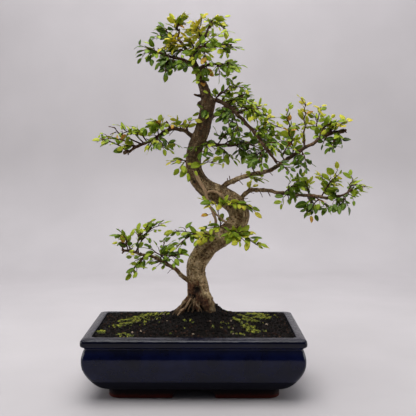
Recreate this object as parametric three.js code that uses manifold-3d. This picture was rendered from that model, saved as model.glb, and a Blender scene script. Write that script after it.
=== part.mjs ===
// Chinese elm bonsai: an S-shaped tree in a glazed rectangular pot with four corner feet.
// Millimetres, +Z up. X runs along the pot, Y from its front to its back.
// The sizes below are laid out from the middle of the pot at floor level, and the finished
// group is then moved so that its origin is the middle of its bounding box, at floor level.

import * as THREE from "three";
import { mergeVertices } from "three/addons/utils/BufferGeometryUtils.js";
import Module from "manifold-3d";

const wasm = await Module();
wasm.setup();

// Driving sizes of the pot
const POT_WIDTH = 252.6;
const POT_DEPTH = 158;
const POT_HEIGHT = 75;
const CORNER_RADIUS = 5;
const CORNER_SOFTENING = 0.25; // how much rounder a corner gets for each millimetre of inset
const CORNER_STEPS = 3;
const FLOOR_TOP = 17.2;
const UNDERSIDE = 9.8;
const DRAIN_RADIUS = 8;
const DRAIN_OFFSET = 55;
const FRONT_ARCH = 50; // opening between the feet, seen from the front
const SIDE_ARCH = 30; // opening between the feet, seen from the side
const ARCH_CORNER = 10; // how far the arch's rounded corner reaches in under the pot

// Driving sizes of the soil
const TOUCH_GAP = 0.3; // clearance between solids that rest on each other
const SOIL_EDGE = 71.5;
const MOUND_RISE = 25;
const MOUND_X = 6;
const MOUND_SPREAD_X = 55;
const MOUND_SPREAD_Y = 42;
const SOIL_GRAIN = 0.7;
const SOIL_CELLS_X = 12;
const SOIL_CELLS_Y = 8;

// Driving sizes of the drainage screens
const SCREEN_SIDE = 26;
const SCREEN_THICK = 1;
const SCREEN_HOLES = 3;
const SCREEN_HOLE = 5;

// Driving sizes of the foliage
const LEAF_LENGTH = 14;
const LEAF_WIDTH = 8.8;
const LEAF_THICK = 1.1;
const LEAF_SPACING = 9.8;
const LEAF_CLEARANCE = 0.35;
const TWIG_BASE_RADIUS = 1;
const TWIG_TIP_RADIUS = 0.65;
const TWIG_SIDES = 3;
const STEM_STEPS = 3;
const SIDE_STEM_STEPS = 2;
const BARE_STEM = 4; // length of a stem without leaves, from the bark
const BARE_SIDE_STEM = 3;
const FORK_SHARE = 0.4; // where side stems leave the stem
const TIP_LEAF_REACH = 6; // how far the end leaf's stalk stops short of the spray's given end
const MOST_TRIES = 8; // ways that are tried to keep a leaf or a twig clear of its neighbours
const TWIG_LIFT = 3;
const LEAF_TURN = 0.4;
const LEAF_SINK = 0.3; // how far past the twig's middle line a leaf's stalk starts
const LEAF_OPENING = 0.95; // smallest angle between a twig and its side leaves, in radians
const LEAF_OPENING_SPREAD = 0.3;
const END_LEAF_OPENING = 0.15;
const LEAF_TILT = 0.35;
const LEAF_SMALLEST = 0.85; // share of the full size
const LEAF_SIZE_SPREAD = 0.3;
const TRUNK_X = 12; // the middle of the trunk, which foliage faces away from
const BACK_FOLIAGE_Y = 15; // twigs further back than this face the back
const FACE_UP = 0.7; // what the blades of a twig face: the sky, the front or back, and outwards
const FACE_FRONT = 0.5;
const FACE_OUT = 0.25;
const FACE_SPREAD = 0.35;
const TWIG_BOW = 0.1; // rise of a twig's middle, as a share of its length
const SEED = 20;

// The pot's wall, as inset from the outermost line of the rim, and height.
// It starts under the floor, goes up outside, over the rim and down inside.
const POT_WALL = [
  [27, UNDERSIDE],
  [26.6, 10.4],
  [17.8, 14.4],
  [10.2, 22],
  [5.6, 29.5],
  [2.7, 36.5],
  [1, 44],
  [0.7, 51],
  [2.2, 59.3],
  [3.8, 64.2],
  [1.1, 67.2],
  [0, 71.2],
  [1.5, POT_HEIGHT - 0.4],
  [3, POT_HEIGHT],
  [10, POT_HEIGHT],
  [11.2, POT_HEIGHT - 0.8],
  [11.3, 69],
  [9.3, 55],
  [10.6, 40],
  [14.5, 31],
  [22, 22.8],
  [38, FLOOR_TOP],
];
const POT_INSIDE_START = 16; // the point of POT_WALL where the soil's space begins
const FOOT_OUTSIDE = [
  [29, 0],
  [27.6, 1.2],
  [27.5, 5],
  [27.5, 12],
];
const FOOT_INSIDE = 46;

// The wood, as points on the middle line of each limb with the limb's radius there.
// A limb starts inside the one that it grows from.
const TRUNK = [
  [8, 1, 64, 13],
  [7, 0, 84, 18],
  [6, 0, 97, 17],
  [6, 0, 108, 15],
  [4, 0, 121, 12.8],
  [1, 0, 140, 11.2],
  [5, -1, 155, 11.6],
  [17, -2, 171, 12],
  [35, -3, 183, 12],
  [49, -3, 196, 12.2],
  [53, -3, 209, 12.2],
  [47, -2, 221, 11.8],
  [30, 0, 231, 11.4],
  [14, 2, 239, 11],
  [3, 4, 252, 10.2],
  [-2, 5, 267, 9.4],
  [-1, 4, 282, 8.8],
  [4, 3, 297, 9.4],
  [8, 1, 307, 9.4],
  [11, 0, 318, 8.8],
  [14, -1, 330, 8.2],
  [15, -2, 340, 8.4],
  [13, -3, 350, 6.6],
  [10, -2, 360, 6],
  [5, -1, 373, 4.4],
  [1, 0, 383, 3.8],
  [-2, 0, 391, 3.1],
  [-4, 1, 400, 2.6],
];
const LIMBS = {
  low_left: [
    [3, -1, 122, 3.4],
    [-12, -7, 132, 2.7],
    [-25, -12, 145, 2.4],
    [-46, -19, 158, 2],
    [-66, -23, 164, 1.7],
    [-85, -26, 167, 1.4],
  ],
  mid_left: [
    [4, 3, 297, 3.2],
    [-7, 3, 304, 2.7],
    [-15, 2, 309, 2.4],
    [-30, 2, 310, 2.2],
    [-44, 4, 302, 2],
    [-62, 6, 293, 1.8],
    [-85, 9, 282, 1.5],
  ],
  bare_twig: [
    [-64, 6, 292, 1.2],
    [-81, 2, 301, 1],
    [-103, -5, 315, 0.8],
  ],
  right_long: [
    [29, 0, 231, 4.2],
    [37, -5, 244, 3.3],
    [52, -12, 251, 2.9],
    [71, -18, 257, 2.7],
    [95, -24, 265, 2.4],
    [125, -27, 286, 2.1],
    [154, -28, 302, 1.8],
    [175, -28, 308, 1.4],
  ],
  back_right: [
    [5, 3, 293, 3.2],
    [17, 9, 293, 2.8],
    [34, 20, 291, 2.4],
    [61, 36, 293, 2],
    [88, 48, 297, 1.4],
  ],
  upper_right: [
    [14, -2, 339, 3.4],
    [21, -5, 343, 2.9],
    [29, -7, 343, 2.5],
    [44, -14, 332, 2.3],
    [67, -28, 307, 2],
    [84, -38, 282, 1.7],
    [94, -42, 269, 1.3],
  ],
  lower_right: [
    [50, -2, 213, 3.6],
    [55, -5, 226, 2.9],
    [62, -11, 235, 2.6],
    [72, -16, 238, 2.4],
    [102, -24, 235, 2.1],
    [139, -31, 231, 1.8],
    [166, -34, 231, 1.6],
    [181, -36, 240, 1.2],
  ],
  back_upper: [
    [11, 0, 318, 3],
    [23, 20, 327, 2.2],
    [41, 38, 333, 1.8],
    [59, 54, 333, 1.3],
  ],
  crown_left: [
    [-4, 1, 396, 2.6],
    [-15, 6, 410, 2],
    [-21, 10, 420, 1.6],
    [-20, 12, 430, 1.1],
  ],
  crown_right: [
    [-4, 1, 398, 2.4],
    [10, -8, 407, 2],
    [25, -13, 406, 1.6],
    [43, -18, 407, 1.1],
  ],
  crown_top: [
    [-4, 1, 399, 2.4],
    [6, 3, 411, 2],
    [14, 6, 423, 1.6],
    [19, 9, 435, 1],
  ],
  crown_low_left: [
    [0, 0, 383, 2.6],
    [-13, -4, 391, 2.1],
    [-29, -10, 394, 1.7],
    [-43, -15, 398, 1.4],
    [-56, -18, 403, 1],
  ],
  crown_low_right: [
    [3, -1, 379, 2.6],
    [11, -4, 384, 2.1],
    [23, -9, 386, 1.7],
    [48, -16, 383, 1.1],
  ],
  crown_back: [
    [-3, 1, 394, 2.4],
    [0, 16, 408, 1.9],
    [5, 30, 419, 1.5],
    [6, 42, 427, 1],
  ],
};
// Surface roots, and the short stubs where branches were pruned off.
const ROOTS = [
  [[0, -4, 116, 6], [-11, -10, 101, 4.4], [-21, -16, 90, 3.2], [-29, -21, 79, 2.2]],
  [[2, -7, 112, 5], [-5, -16, 98, 3.4], [-11, -24, 88, 2.6], [-15, -31, 77, 1.9]],
  [[-2, 1, 112, 6], [-14, 2, 99, 4.2], [-22, 4, 90, 3], [-30, 6, 78, 2]],
  [[10, -5, 112, 7], [17, -11, 100, 5.4], [22, -17, 90, 4], [27, -24, 77, 2.6]],
  [[11, 1, 113, 7], [18, 1, 102, 5.8], [23, 1, 92, 4.4], [29, 2, 78, 2.8]],
  [[5, 7, 112, 6.5], [6, 17, 99, 4.6], [8, 26, 88, 3], [10, 34, 76, 2]],
];
const STUBS = [
  [[10, -2, 355, 3], [1, -7, 361, 2.2], [-3, -10, 364, 1.9]],
  [[-28, 2, 309, 1.8], [-32, -1, 315, 1.5], [-34, -2, 319, 1.3]],
  [[152, -28, 301, 1.4], [159, -31, 311, 1.1], [162, -32, 316, 0.9]],
];
const TRUNK_SIDES = 12;
const TRUNK_STEPS = 28;
const LIMB_SIDES = 5;
const STEPS_PER_POINT = 1.3;
const ROOT_STEPS = 4;
const STUB_STEPS = 2;

// The leafy sprays: the limb that each leaves, how far along it, its tint, and the far ends
// of its stem and of the side stems that fork from it.
const SPRAYS = [
  ["low_left", 0.83, "mid", [[-44, -16, 202]]],
  ["low_left", 0.92, "young", [[-82, -36, 190], [-94, -31, 178]]],
  ["low_left", 0.55, "mid", [[-32, -6, 186]]],
  ["low_left", 0.46, "mid", [[-58, -34, 174], [-12, -24, 155]]],
  ["low_left", 0.68, "young", [[-77, -32, 138]]],
  ["trunk", 0.27, "mid", [[-27, -16, 190], [-26, -26, 169]]],
  ["trunk", 0.29, "young", [[25, -16, 221]]],
  ["trunk", 0.3, "young", [[78, -36, 173], [8, -32, 195]]],
  ["mid_left", 0.98, "mid", [[-117, -6, 299]]],
  ["mid_left", 0.83, "mid", [[-84, -4, 312], [-62, -10, 310]]],
  ["mid_left", 0.66, "mid", [[-47, -6, 319], [-51, 38, 313]]],
  ["mid_left", 0.6, "dark", [[-53, -10, 286], [-26, -10, 287]]],
  ["mid_left", 0.41, "mid", [[-19, -10, 328]]],
  ["mid_left", 0.23, "young", [[-5, -14, 330]]],
  ["trunk", 0.56, "young", [[-32, -16, 271], [-6, -24, 254]]],
  ["trunk", 0.55, "young", [[28, -18, 270]]],
  ["back_right", 0.41, "dark", [[38, 18, 308], [55, 28, 312]]],
  ["back_right", 0.65, "dark", [[69, 12, 268]]],
  ["back_right", 0.82, "mid", [[84, 50, 316]]],
  ["back_right", 0.95, "mid", [[110, 42, 307], [89, 38, 277]]],
  ["back_upper", 0.52, "mid", [[50, 28, 347], [68, 30, 338]]],
  ["back_upper", 0.85, "mid", [[76, 62, 338]]],
  ["upper_right", 0.36, "young", [[55, -14, 365]]],
  ["upper_right", 0.45, "mid", [[67, -20, 351]]],
  ["upper_right", 0.54, "young", [[80, -26, 333], [78, -34, 319]]],
  ["upper_right", 0.43, "dark", [[31, -22, 321], [41, -32, 306]]],
  ["upper_right", 0.68, "young", [[97, -36, 325], [104, -46, 308]]],
  ["upper_right", 0.77, "mid", [[104, -52, 290]]],
  ["upper_right", 0.83, "dark", [[68, -52, 270]]],
  ["upper_right", 0.96, "dark", [[111, -54, 255]]],
  ["right_long", 0.66, "young", [[115, -12, 318], [106, -22, 332]]],
  ["right_long", 0.72, "yellow", [[130, -9, 347]]],
  ["right_long", 0.79, "young", [[145, -20, 333]]],
  ["right_long", 0.88, "yellow", [[179, -38, 321]]],
  ["right_long", 0.93, "dark", [[171, -34, 286], [151, -38, 283]]],
  ["right_long", 0.71, "dark", [[128, -38, 266], [121, -36, 259]]],
  ["right_long", 0.43, "dark", [[61, -34, 272]]],
  ["lower_right", 0.59, "mid", [[111, -34, 223], [117, -38, 249]]],
  ["lower_right", 0.69, "young", [[125, -22, 258]]],
  ["lower_right", 0.81, "young", [[144, -24, 259], [168, -44, 261]]],
  ["lower_right", 0.95, "young", [[186, -24, 253], [200, -42, 242]]],
  ["lower_right", 0.9, "dark", [[179, -36, 215], [167, -40, 220]]],
  ["lower_right", 0.71, "mid", [[157, -42, 213], [128, -36, 209]]],
  ["crown_left", 0.92, "mid", [[-32, 10, 436], [-7, 2, 438], [-22, 20, 440]]],
  ["crown_left", 0.68, "dark", [[-52, 2, 417], [-40, -8, 431]]],
  ["crown_left", 0.3, "yellow", [[-40, -12, 405], [-24, -16, 418], [-26, -14, 399]]],
  ["crown_top", 0.45, "yellow", [[-2, -12, 428], [8, -8, 442]]],
  ["crown_top", 0.86, "mid", [[36, 8, 442], [40, -2, 423], [16, 22, 440]]],
  ["crown_low_left", 0.85, "dark", [[-66, -24, 398], [-49, -24, 384]]],
  ["crown_low_left", 0.41, "dark", [[-32, -18, 374], [-16, -20, 380], [-33, -22, 390]]],
  ["crown_right", 0.73, "mid", [[47, -26, 400], [32, -22, 391]]],
  ["crown_right", 0.3, "mid", [[13, -24, 384], [24, -26, 417]]],
  ["crown_low_right", 0.72, "mid", [[29, -18, 364], [54, -22, 381]]],
  ["crown_back", 0.8, "mid", [[-14, 40, 425], [24, 44, 432]]],
];

const MATERIALS = {
  glaze: new THREE.MeshStandardMaterial({ color: 0x1a2547, roughness: 0.18, metalness: 0 }),
  soil: new THREE.MeshStandardMaterial({ color: 0x2b2019, roughness: 0.95, metalness: 0 }),
  bark: new THREE.MeshStandardMaterial({ color: 0x75604a, roughness: 0.85, metalness: 0 }),
  screen: new THREE.MeshStandardMaterial({ color: 0x1d1d1d, roughness: 0.5, metalness: 0 }),
  dark: new THREE.MeshStandardMaterial({ color: 0x24471c, roughness: 0.45, metalness: 0 }),
  mid: new THREE.MeshStandardMaterial({ color: 0x3f7428, roughness: 0.45, metalness: 0 }),
  young: new THREE.MeshStandardMaterial({ color: 0x7aa52c, roughness: 0.45, metalness: 0 }),
  yellow: new THREE.MeshStandardMaterial({ color: 0xb9b638, roughness: 0.45, metalness: 0 }),
};

// Seeded random numbers from 0 to 1, so that the tree grows the same way every time.
function seededRandom(seed) {
  let state = seed;
  return () => {
    state = (state + 0x6d2b79f5) | 0;
    let t = Math.imul(state ^ (state >>> 15), 1 | state);
    t = (t + Math.imul(t ^ (t >>> 7), 61 | t)) ^ t;
    return ((t ^ (t >>> 14)) >>> 0) / 4294967296;
  };
}

// Solids and meshes
function solidOf(geometry) {
  const bare = geometry.clone();
  bare.deleteAttribute("normal");
  bare.deleteAttribute("uv");
  const merged = mergeVertices(bare, 1e-4);
  return new wasm.Manifold(
    new wasm.Mesh({
      numProp: 3,
      vertProperties: new Float32Array(merged.attributes.position.array),
      triVerts: new Uint32Array(merged.index.array),
    }),
  );
}

function meshOf(name, solid, material) {
  const { numProp, vertProperties, triVerts } = solid.getMesh();
  const geometry = new THREE.BufferGeometry();
  const positions = new Float32Array((vertProperties.length / numProp) * 3);
  for (let i = 0; i < positions.length / 3; i++) {
    positions.set(vertProperties.subarray(i * numProp, i * numProp + 3), i * 3);
  }
  geometry.setAttribute("position", new THREE.BufferAttribute(positions, 3));
  geometry.setIndex(new THREE.BufferAttribute(new Uint32Array(triVerts), 1));
  geometry.computeVertexNormals();
  const mesh = new THREE.Mesh(geometry, material);
  mesh.name = name;
  return mesh;
}

function joined(solids) {
  return solids.reduce((whole, piece) => whole.add(piece));
}

// The largest body of a solid: scraps that a cut leaves loose are dropped.
function largestBody(solid) {
  const bodies = solid.decompose();
  return bodies.reduce((best, body) => (body.volume() > best.volume() ? body : best));
}

// A closed skin over rings of equally many points, with a flat or domed fan at each end.
// The rings run anticlockwise when seen from the end where they finish.
function loft(rings, startPoint, endPoint) {
  const count = rings[0].length;
  const points = [...rings.flat(), startPoint, endPoint];
  const start = points.length - 2;
  const end = points.length - 1;
  const faces = [];
  for (let i = 0; i < count; i++) {
    const j = (i + 1) % count;
    faces.push(start, j, i);
    for (let r = 0; r + 1 < rings.length; r++) {
      const low = r * count;
      const high = low + count;
      faces.push(low + i, low + j, high + j);
      faces.push(low + i, high + j, high + i);
    }
    const last = (rings.length - 1) * count;
    faces.push(end, last + i, last + j);
  }
  const geometry = new THREE.BufferGeometry().setFromPoints(points);
  geometry.setIndex(faces);
  return geometry;
}

// Pot
function potRing(inset, z) {
  const radius = CORNER_RADIUS + CORNER_SOFTENING * inset;
  const halfX = POT_WIDTH / 2 - inset - radius;
  const halfY = POT_DEPTH / 2 - inset - radius;
  const ring = [];
  const centres = [
    [halfX, halfY],
    [-halfX, halfY],
    [-halfX, -halfY],
    [halfX, -halfY],
  ];
  centres.forEach(([x, y], quarter) => {
    for (let step = 0; step <= CORNER_STEPS; step++) {
      const angle = ((quarter + step / CORNER_STEPS) * Math.PI) / 2;
      ring.push(new THREE.Vector3(x + radius * Math.cos(angle), y + radius * Math.sin(angle), z));
    }
  });
  return ring;
}

function potLoft(profile) {
  const rings = profile.map(([inset, z]) => potRing(inset, z));
  const startPoint = new THREE.Vector3(0, 0, profile[0][1]);
  const endPoint = new THREE.Vector3(0, 0, profile.at(-1)[1]);
  return solidOf(loft(rings, startPoint, endPoint));
}

// The space between two feet: wide on the ground and rounded off under the pot.
function archTunnel(width, length) {
  const half = width / 2;
  const arch = new THREE.Shape();
  arch.moveTo(-half, -1);
  arch.lineTo(half, -1);
  arch.lineTo(half, 0);
  arch.quadraticCurveTo(half, UNDERSIDE, half - ARCH_CORNER, UNDERSIDE);
  arch.lineTo(ARCH_CORNER - half, UNDERSIDE);
  arch.quadraticCurveTo(-half, UNDERSIDE, -half, 0);
  const cut = { depth: length, bevelEnabled: false, curveSegments: 3 };
  const tunnel = new THREE.ExtrudeGeometry(arch, cut);
  tunnel.translate(0, 0, -length / 2);
  tunnel.rotateX(Math.PI / 2);
  return tunnel;
}

function makePot() {
  const body = potLoft(POT_WALL);
  const footRing = potLoft(FOOT_OUTSIDE).subtract(
    potLoft([
      [FOOT_INSIDE, -1],
      [FOOT_INSIDE, UNDERSIDE],
    ]),
  );
  const frontTunnel = solidOf(archTunnel(FRONT_ARCH, POT_DEPTH));
  const sideTunnel = solidOf(archTunnel(SIDE_ARCH, POT_WIDTH).rotateZ(Math.PI / 2));
  let pot = footRing.subtract(frontTunnel).subtract(sideTunnel).add(body);
  for (const side of [-1, 1]) {
    const drain = new THREE.CylinderGeometry(DRAIN_RADIUS, DRAIN_RADIUS, 2 * FLOOR_TOP, 16);
    drain.rotateX(Math.PI / 2);
    drain.translate(side * DRAIN_OFFSET, 0, UNDERSIDE);
    pot = pot.subtract(solidOf(drain));
  }
  return pot;
}

// Drainage screens, one over each hole in the pot's floor
function screenBox(side, grow) {
  const box = new THREE.BoxGeometry(
    SCREEN_SIDE + 2 * grow,
    SCREEN_SIDE + 2 * grow,
    SCREEN_THICK + 2 * grow,
  );
  box.translate(side * DRAIN_OFFSET, 0, FLOOR_TOP + TOUCH_GAP + SCREEN_THICK / 2);
  return solidOf(box);
}

function makeScreen(side) {
  let screen = screenBox(side, 0);
  const pitch = SCREEN_SIDE / (SCREEN_HOLES + 0.5);
  const first = (-(SCREEN_HOLES - 1) / 2) * pitch;
  for (let row = 0; row < SCREEN_HOLES; row++) {
    for (let column = 0; column < SCREEN_HOLES; column++) {
      const hole = new THREE.BoxGeometry(SCREEN_HOLE, SCREEN_HOLE, 4 * SCREEN_THICK);
      hole.translate(
        side * DRAIN_OFFSET + first + column * pitch,
        first + row * pitch,
        FLOOR_TOP + SCREEN_THICK,
      );
      screen = screen.subtract(solidOf(hole));
    }
  }
  return screen;
}

// Wood
function limbPoint(points, share) {
  const place = THREE.MathUtils.clamp(share, 0, 1) * (points.length - 1);
  const index = Math.min(Math.floor(place), points.length - 2);
  const t = place - index;
  const before = points[index - 1] ?? points[0].map((v, k) => 2 * v - points[1][k]);
  const after = points[index + 2] ?? points.at(-1).map((v, k) => 2 * v - points.at(-2)[k]);
  return points[index].map((v, k) => {
    const [a, b, c, d] = [before[k], v, points[index + 1][k], after[k]];
    const curve = 2 * a - 5 * b + 4 * c - d;
    return 0.5 * (2 * b + (c - a) * t + curve * t * t + (3 * b - a - 3 * c + d) * t * t * t);
  });
}

// Rings of points across a limb. The frame turns as little as it can from ring to ring.
function limbRings(points, steps, sides, grow, shape) {
  const rings = [];
  let normal = new THREE.Vector3(0.31, -0.95, 0.07);
  for (let step = 0; step <= steps; step++) {
    const share = step / steps;
    const [x, y, z, radius] = limbPoint(points, share);
    const ahead = new THREE.Vector3(...limbPoint(points, share + 0.01));
    const behind = new THREE.Vector3(...limbPoint(points, share - 0.01));
    const tangent = ahead.sub(behind).normalize();
    normal = normal.clone().addScaledVector(tangent, -normal.dot(tangent)).normalize();
    const across = tangent.clone().cross(normal);
    const ring = [];
    for (let side = 0; side < sides; side++) {
      const angle = (2 * Math.PI * side) / sides;
      const reach = radius * shape(angle, z) + grow;
      ring.push(
        new THREE.Vector3(x, y, z)
          .addScaledVector(normal, reach * Math.cos(angle))
          .addScaledVector(across, reach * Math.sin(angle)),
      );
    }
    rings.push(ring);
  }
  return rings;
}

function limbSolid(points, steps, sides, grow = 0, shape = () => 1) {
  const rings = limbRings(points, steps, sides, grow, shape);
  const first = new THREE.Vector3(...limbPoint(points, 0));
  const last = new THREE.Vector3(...limbPoint(points, 1));
  const back = new THREE.Vector3(...limbPoint(points, 0.99));
  const dome = last.clone().add(last.clone().sub(back).setLength(points.at(-1)[3] * 0.5 + grow));
  return solidOf(loft(rings, first, dome));
}

// The trunk is fluted towards its foot and a little lumpy above.
function trunkShape(angle, z) {
  const foot = THREE.MathUtils.smoothstep(z, 84, 135);
  const flutes = 0.1 * (1 - foot) * Math.sin(5 * angle + 0.8);
  const lumps = 0.035 * Math.sin(2 * angle + z * 0.11) + 0.03 * Math.sin(3 * angle - z * 0.17);
  return 1 + flutes + lumps;
}

function woodPieces(grow) {
  const pieces = { trunk: limbSolid(TRUNK, TRUNK_STEPS, TRUNK_SIDES, grow, trunkShape) };
  for (const [name, points] of Object.entries(LIMBS)) {
    const steps = Math.round(STEPS_PER_POINT * (points.length - 1));
    pieces[name] = limbSolid(points, steps, LIMB_SIDES, grow);
  }
  ROOTS.forEach((points, i) => {
    pieces[`root_${i}`] = limbSolid(points, ROOT_STEPS, LIMB_SIDES, grow);
  });
  STUBS.forEach((points, i) => {
    pieces[`stub_${i}`] = limbSolid(points, STUB_STEPS, LIMB_SIDES, grow);
  });
  return pieces;
}

// Soil: fills the pot to just under the rim and rises in a mound round the trunk.
function soilHeight(x, y) {
  const across = ((x - MOUND_X) / MOUND_SPREAD_X) ** 2;
  const deep = (y / MOUND_SPREAD_Y) ** 2;
  const waveX = Math.sin(0.31 * x + 1.7 * Math.sin(0.13 * y));
  const waveY = Math.cos(0.27 * y - 0.4 * Math.sin(0.11 * x));
  return SOIL_EDGE + MOUND_RISE * Math.exp(-across - deep) + SOIL_GRAIN * waveX * waveY;
}

function makeSoil(grownWood) {
  const topAbove = SOIL_EDGE + 2 * MOUND_RISE;
  const space = POT_WALL.slice(POT_INSIDE_START).map(([inset, z]) => [inset + TOUCH_GAP, z]);
  const profile = [[space[0][0], topAbove], ...space].reverse();
  profile[0][1] += TOUCH_GAP;
  const inside = potLoft(profile);
  const ground = new THREE.BoxGeometry(POT_WIDTH, POT_DEPTH, topAbove, SOIL_CELLS_X, SOIL_CELLS_Y, 1);
  const places = ground.attributes.position;
  for (let i = 0; i < places.count; i++) {
    if (places.getZ(i) > 0) {
      places.setZ(i, soilHeight(places.getX(i), places.getY(i)));
    } else {
      places.setZ(i, 0);
    }
  }
  let soil = inside.intersect(solidOf(ground));
  for (const name of ["trunk", ...ROOTS.map((_, i) => `root_${i}`)]) {
    soil = soil.subtract(grownWood[name]);
  }
  for (const side of [-1, 1]) {
    soil = soil.subtract(screenBox(side, TOUCH_GAP));
  }
  return largestBody(soil);
}

// Leaves
// Half of a leaf's toothed outline, as shares of its length and of its half width.
const LEAF_EDGE = [
  [0.13, 0.13],
  [0.36, 0.95],
  [0.6, 0.95],
  [0.65, 0.8],
];
const LEAF_RIB = [0.32, 0.64]; // where the blade's faces rise most over the midrib
const LEAF_FOLD = 0.16; // how far the halves lift from the midrib, for each millimetre across
const LEAF_DROOP = 0.12; // how far the tip bends down, as a share of the length

function leafGeometry(length, width, thick) {
  const bend = (x) => -LEAF_DROOP * length * (x / length) ** 2;
  const edge = (side) =>
    LEAF_EDGE.map(([along, out]) => {
      const x = along * length;
      const y = (side * out * width) / 2;
      return new THREE.Vector3(x, y, LEAF_FOLD * Math.abs(y) + bend(x));
    });
  const rib = (up) =>
    LEAF_RIB.map((along) => new THREE.Vector3(along * length, 0, (up * thick) / 2 + bend(along * length)));
  const left = edge(1);
  const right = edge(-1);
  const points = [
    new THREE.Vector3(0, 0, 0),
    ...left,
    new THREE.Vector3(length, 0, bend(length)),
    ...right,
    ...rib(1),
    ...rib(-1),
  ];
  const tip = 5;
  const faces = [];
  for (const [near, far, over] of [
    [10, 11, 1],
    [12, 13, -1],
  ]) {
    for (const [first, turn] of [
      [1, 1],
      [6, -1],
    ]) {
      const half = [
        [0, near, first],
        [near, first + 1, first],
        [near, first + 2, first + 1],
        [near, far, first + 2],
        [far, first + 3, first + 2],
        [far, tip, first + 3],
      ];
      for (const [a, b, c] of half) {
        faces.push(...(over * turn > 0 ? [a, b, c] : [a, c, b]));
      }
    }
  }
  const geometry = new THREE.BufferGeometry().setFromPoints(points);
  geometry.setIndex(faces);
  return geometry;
}

function placedLeaf(base, forward, up, size) {
  const across = up.clone().cross(forward).normalize();
  const face = forward.clone().cross(across).normalize();
  const place = new THREE.Matrix4().makeBasis(forward, across, face).setPosition(base);
  const leaf = leafGeometry(LEAF_LENGTH * size, LEAF_WIDTH * size, LEAF_THICK).applyMatrix4(place);
  const middle = base.clone().addScaledVector(forward, (LEAF_LENGTH * size) / 2);
  return { solid: solidOf(leaf), middle, reach: (LEAF_LENGTH * size) / 2 + 1 };
}

// Everything that a new twig or leaf has to stay clear of, with a ball round each item.
const grown = [];

function ballOf(solid) {
  const { min, max } = solid.boundingBox();
  const low = new THREE.Vector3(...min);
  const high = new THREE.Vector3(...max);
  return { middle: low.clone().add(high).multiplyScalar(0.5), reach: low.distanceTo(high) / 2 };
}

function isClear(item, others) {
  return others.every((other) => {
    const apart = item.middle.distanceTo(other.middle) - item.reach - other.reach;
    return apart > LEAF_CLEARANCE || item.solid.minGap(other.solid, LEAF_CLEARANCE) >= LEAF_CLEARANCE;
  });
}

// A twig bows upwards a little between its foot and its tip, and stops short of the given
// end, which its last leaf covers.
function twigPoints(foot, end) {
  const length = foot.distanceTo(end);
  const tip = foot.clone().lerp(end, Math.max(0.5, 1 - TIP_LEAF_REACH / length));
  const middle = foot.clone().lerp(tip, 0.5);
  middle.z += TWIG_BOW * length;
  return [
    [foot.x, foot.y, foot.z, TWIG_BASE_RADIUS],
    [middle.x, middle.y, middle.z, (TWIG_BASE_RADIUS + TWIG_TIP_RADIUS) / 2],
    [tip.x, tip.y, tip.z, TWIG_TIP_RADIUS],
  ];
}

function randomVector(random) {
  return new THREE.Vector3(random() - 0.5, random() - 0.5, random() - 0.5).multiplyScalar(2);
}

// The leaves of a twig lie roughly in one plane, which faces up and away from the trunk.
function planeNormal(point, random) {
  const outward = new THREE.Vector3(point[0] - TRUNK_X, point[1], 0).normalize();
  const facing = new THREE.Vector3(0, point[1] > BACK_FOLIAGE_Y ? FACE_FRONT : -FACE_FRONT, FACE_UP);
  facing.addScaledVector(outward, FACE_OUT).addScaledVector(randomVector(random), FACE_SPREAD);
  return facing.normalize();
}

function leafedTwig(points, bareLength, random, others) {
  const length = new THREE.Vector3(...points[0]).distanceTo(new THREE.Vector3(...points[2]));
  const leafed = Math.max(length - bareLength, 0.3 * length);
  const count = Math.max(1, Math.round(leafed / LEAF_SPACING));
  const plane = planeNormal(points[1], random);
  const leaves = [];
  for (let i = 0; i <= count; i++) {
    const isTip = i === count;
    const share = isTip ? 1 : 1 - (leafed / length) * (1 - (i + 0.4) / (count + 0.2));
    const at = new THREE.Vector3(...limbPoint(points, share));
    const ahead = new THREE.Vector3(...limbPoint(points, Math.min(1, share + 0.02)));
    const behind = new THREE.Vector3(...limbPoint(points, share - 0.04));
    const tangent = ahead.sub(behind).normalize();
    const side = i % 2 ? 1 : -1;
    const size = LEAF_SMALLEST + LEAF_SIZE_SPREAD * random();
    const opening = isTip ? END_LEAF_OPENING : LEAF_OPENING + LEAF_OPENING_SPREAD * random();
    const tilt = randomVector(random).multiplyScalar(LEAF_TILT);
    for (let attempt = 0; attempt <= MOST_TRIES; attempt++) {
      const turn = (attempt % 2 ? 1 : -1) * Math.ceil(attempt / 2) * LEAF_TURN;
      const normal = plane.clone().addScaledVector(tangent, -plane.dot(tangent)).normalize();
      normal.applyAxisAngle(tangent, turn);
      const out = normal.clone().cross(tangent).multiplyScalar(side);
      const forward = tangent.clone().multiplyScalar(Math.cos(opening));
      forward.addScaledVector(out, Math.sin(opening)).normalize();
      const foot = at.clone().addScaledVector(forward, -LEAF_SINK);
      const leaf = placedLeaf(foot, forward, normal.add(tilt), size);
      if (isClear(leaf, others) && isClear(leaf, leaves)) {
        leaves.push(leaf);
        break;
      }
    }
  }
  return leaves;
}

// A twig whose way is blocked is lifted or lowered at its far end until it is clear.
function clearTwig(foot, end, steps, others) {
  for (let attempt = 0; ; attempt++) {
    const lift = (attempt % 2 ? 1 : -1) * Math.ceil(attempt / 2) * TWIG_LIFT;
    const points = twigPoints(foot, end.clone().setZ(end.z + lift));
    const solid = limbSolid(points, steps, TWIG_SIDES);
    const twig = { solid, points, ...ballOf(solid) };
    if (isClear(twig, others) || attempt === MOST_TRIES) {
      return twig;
    }
  }
}

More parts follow.
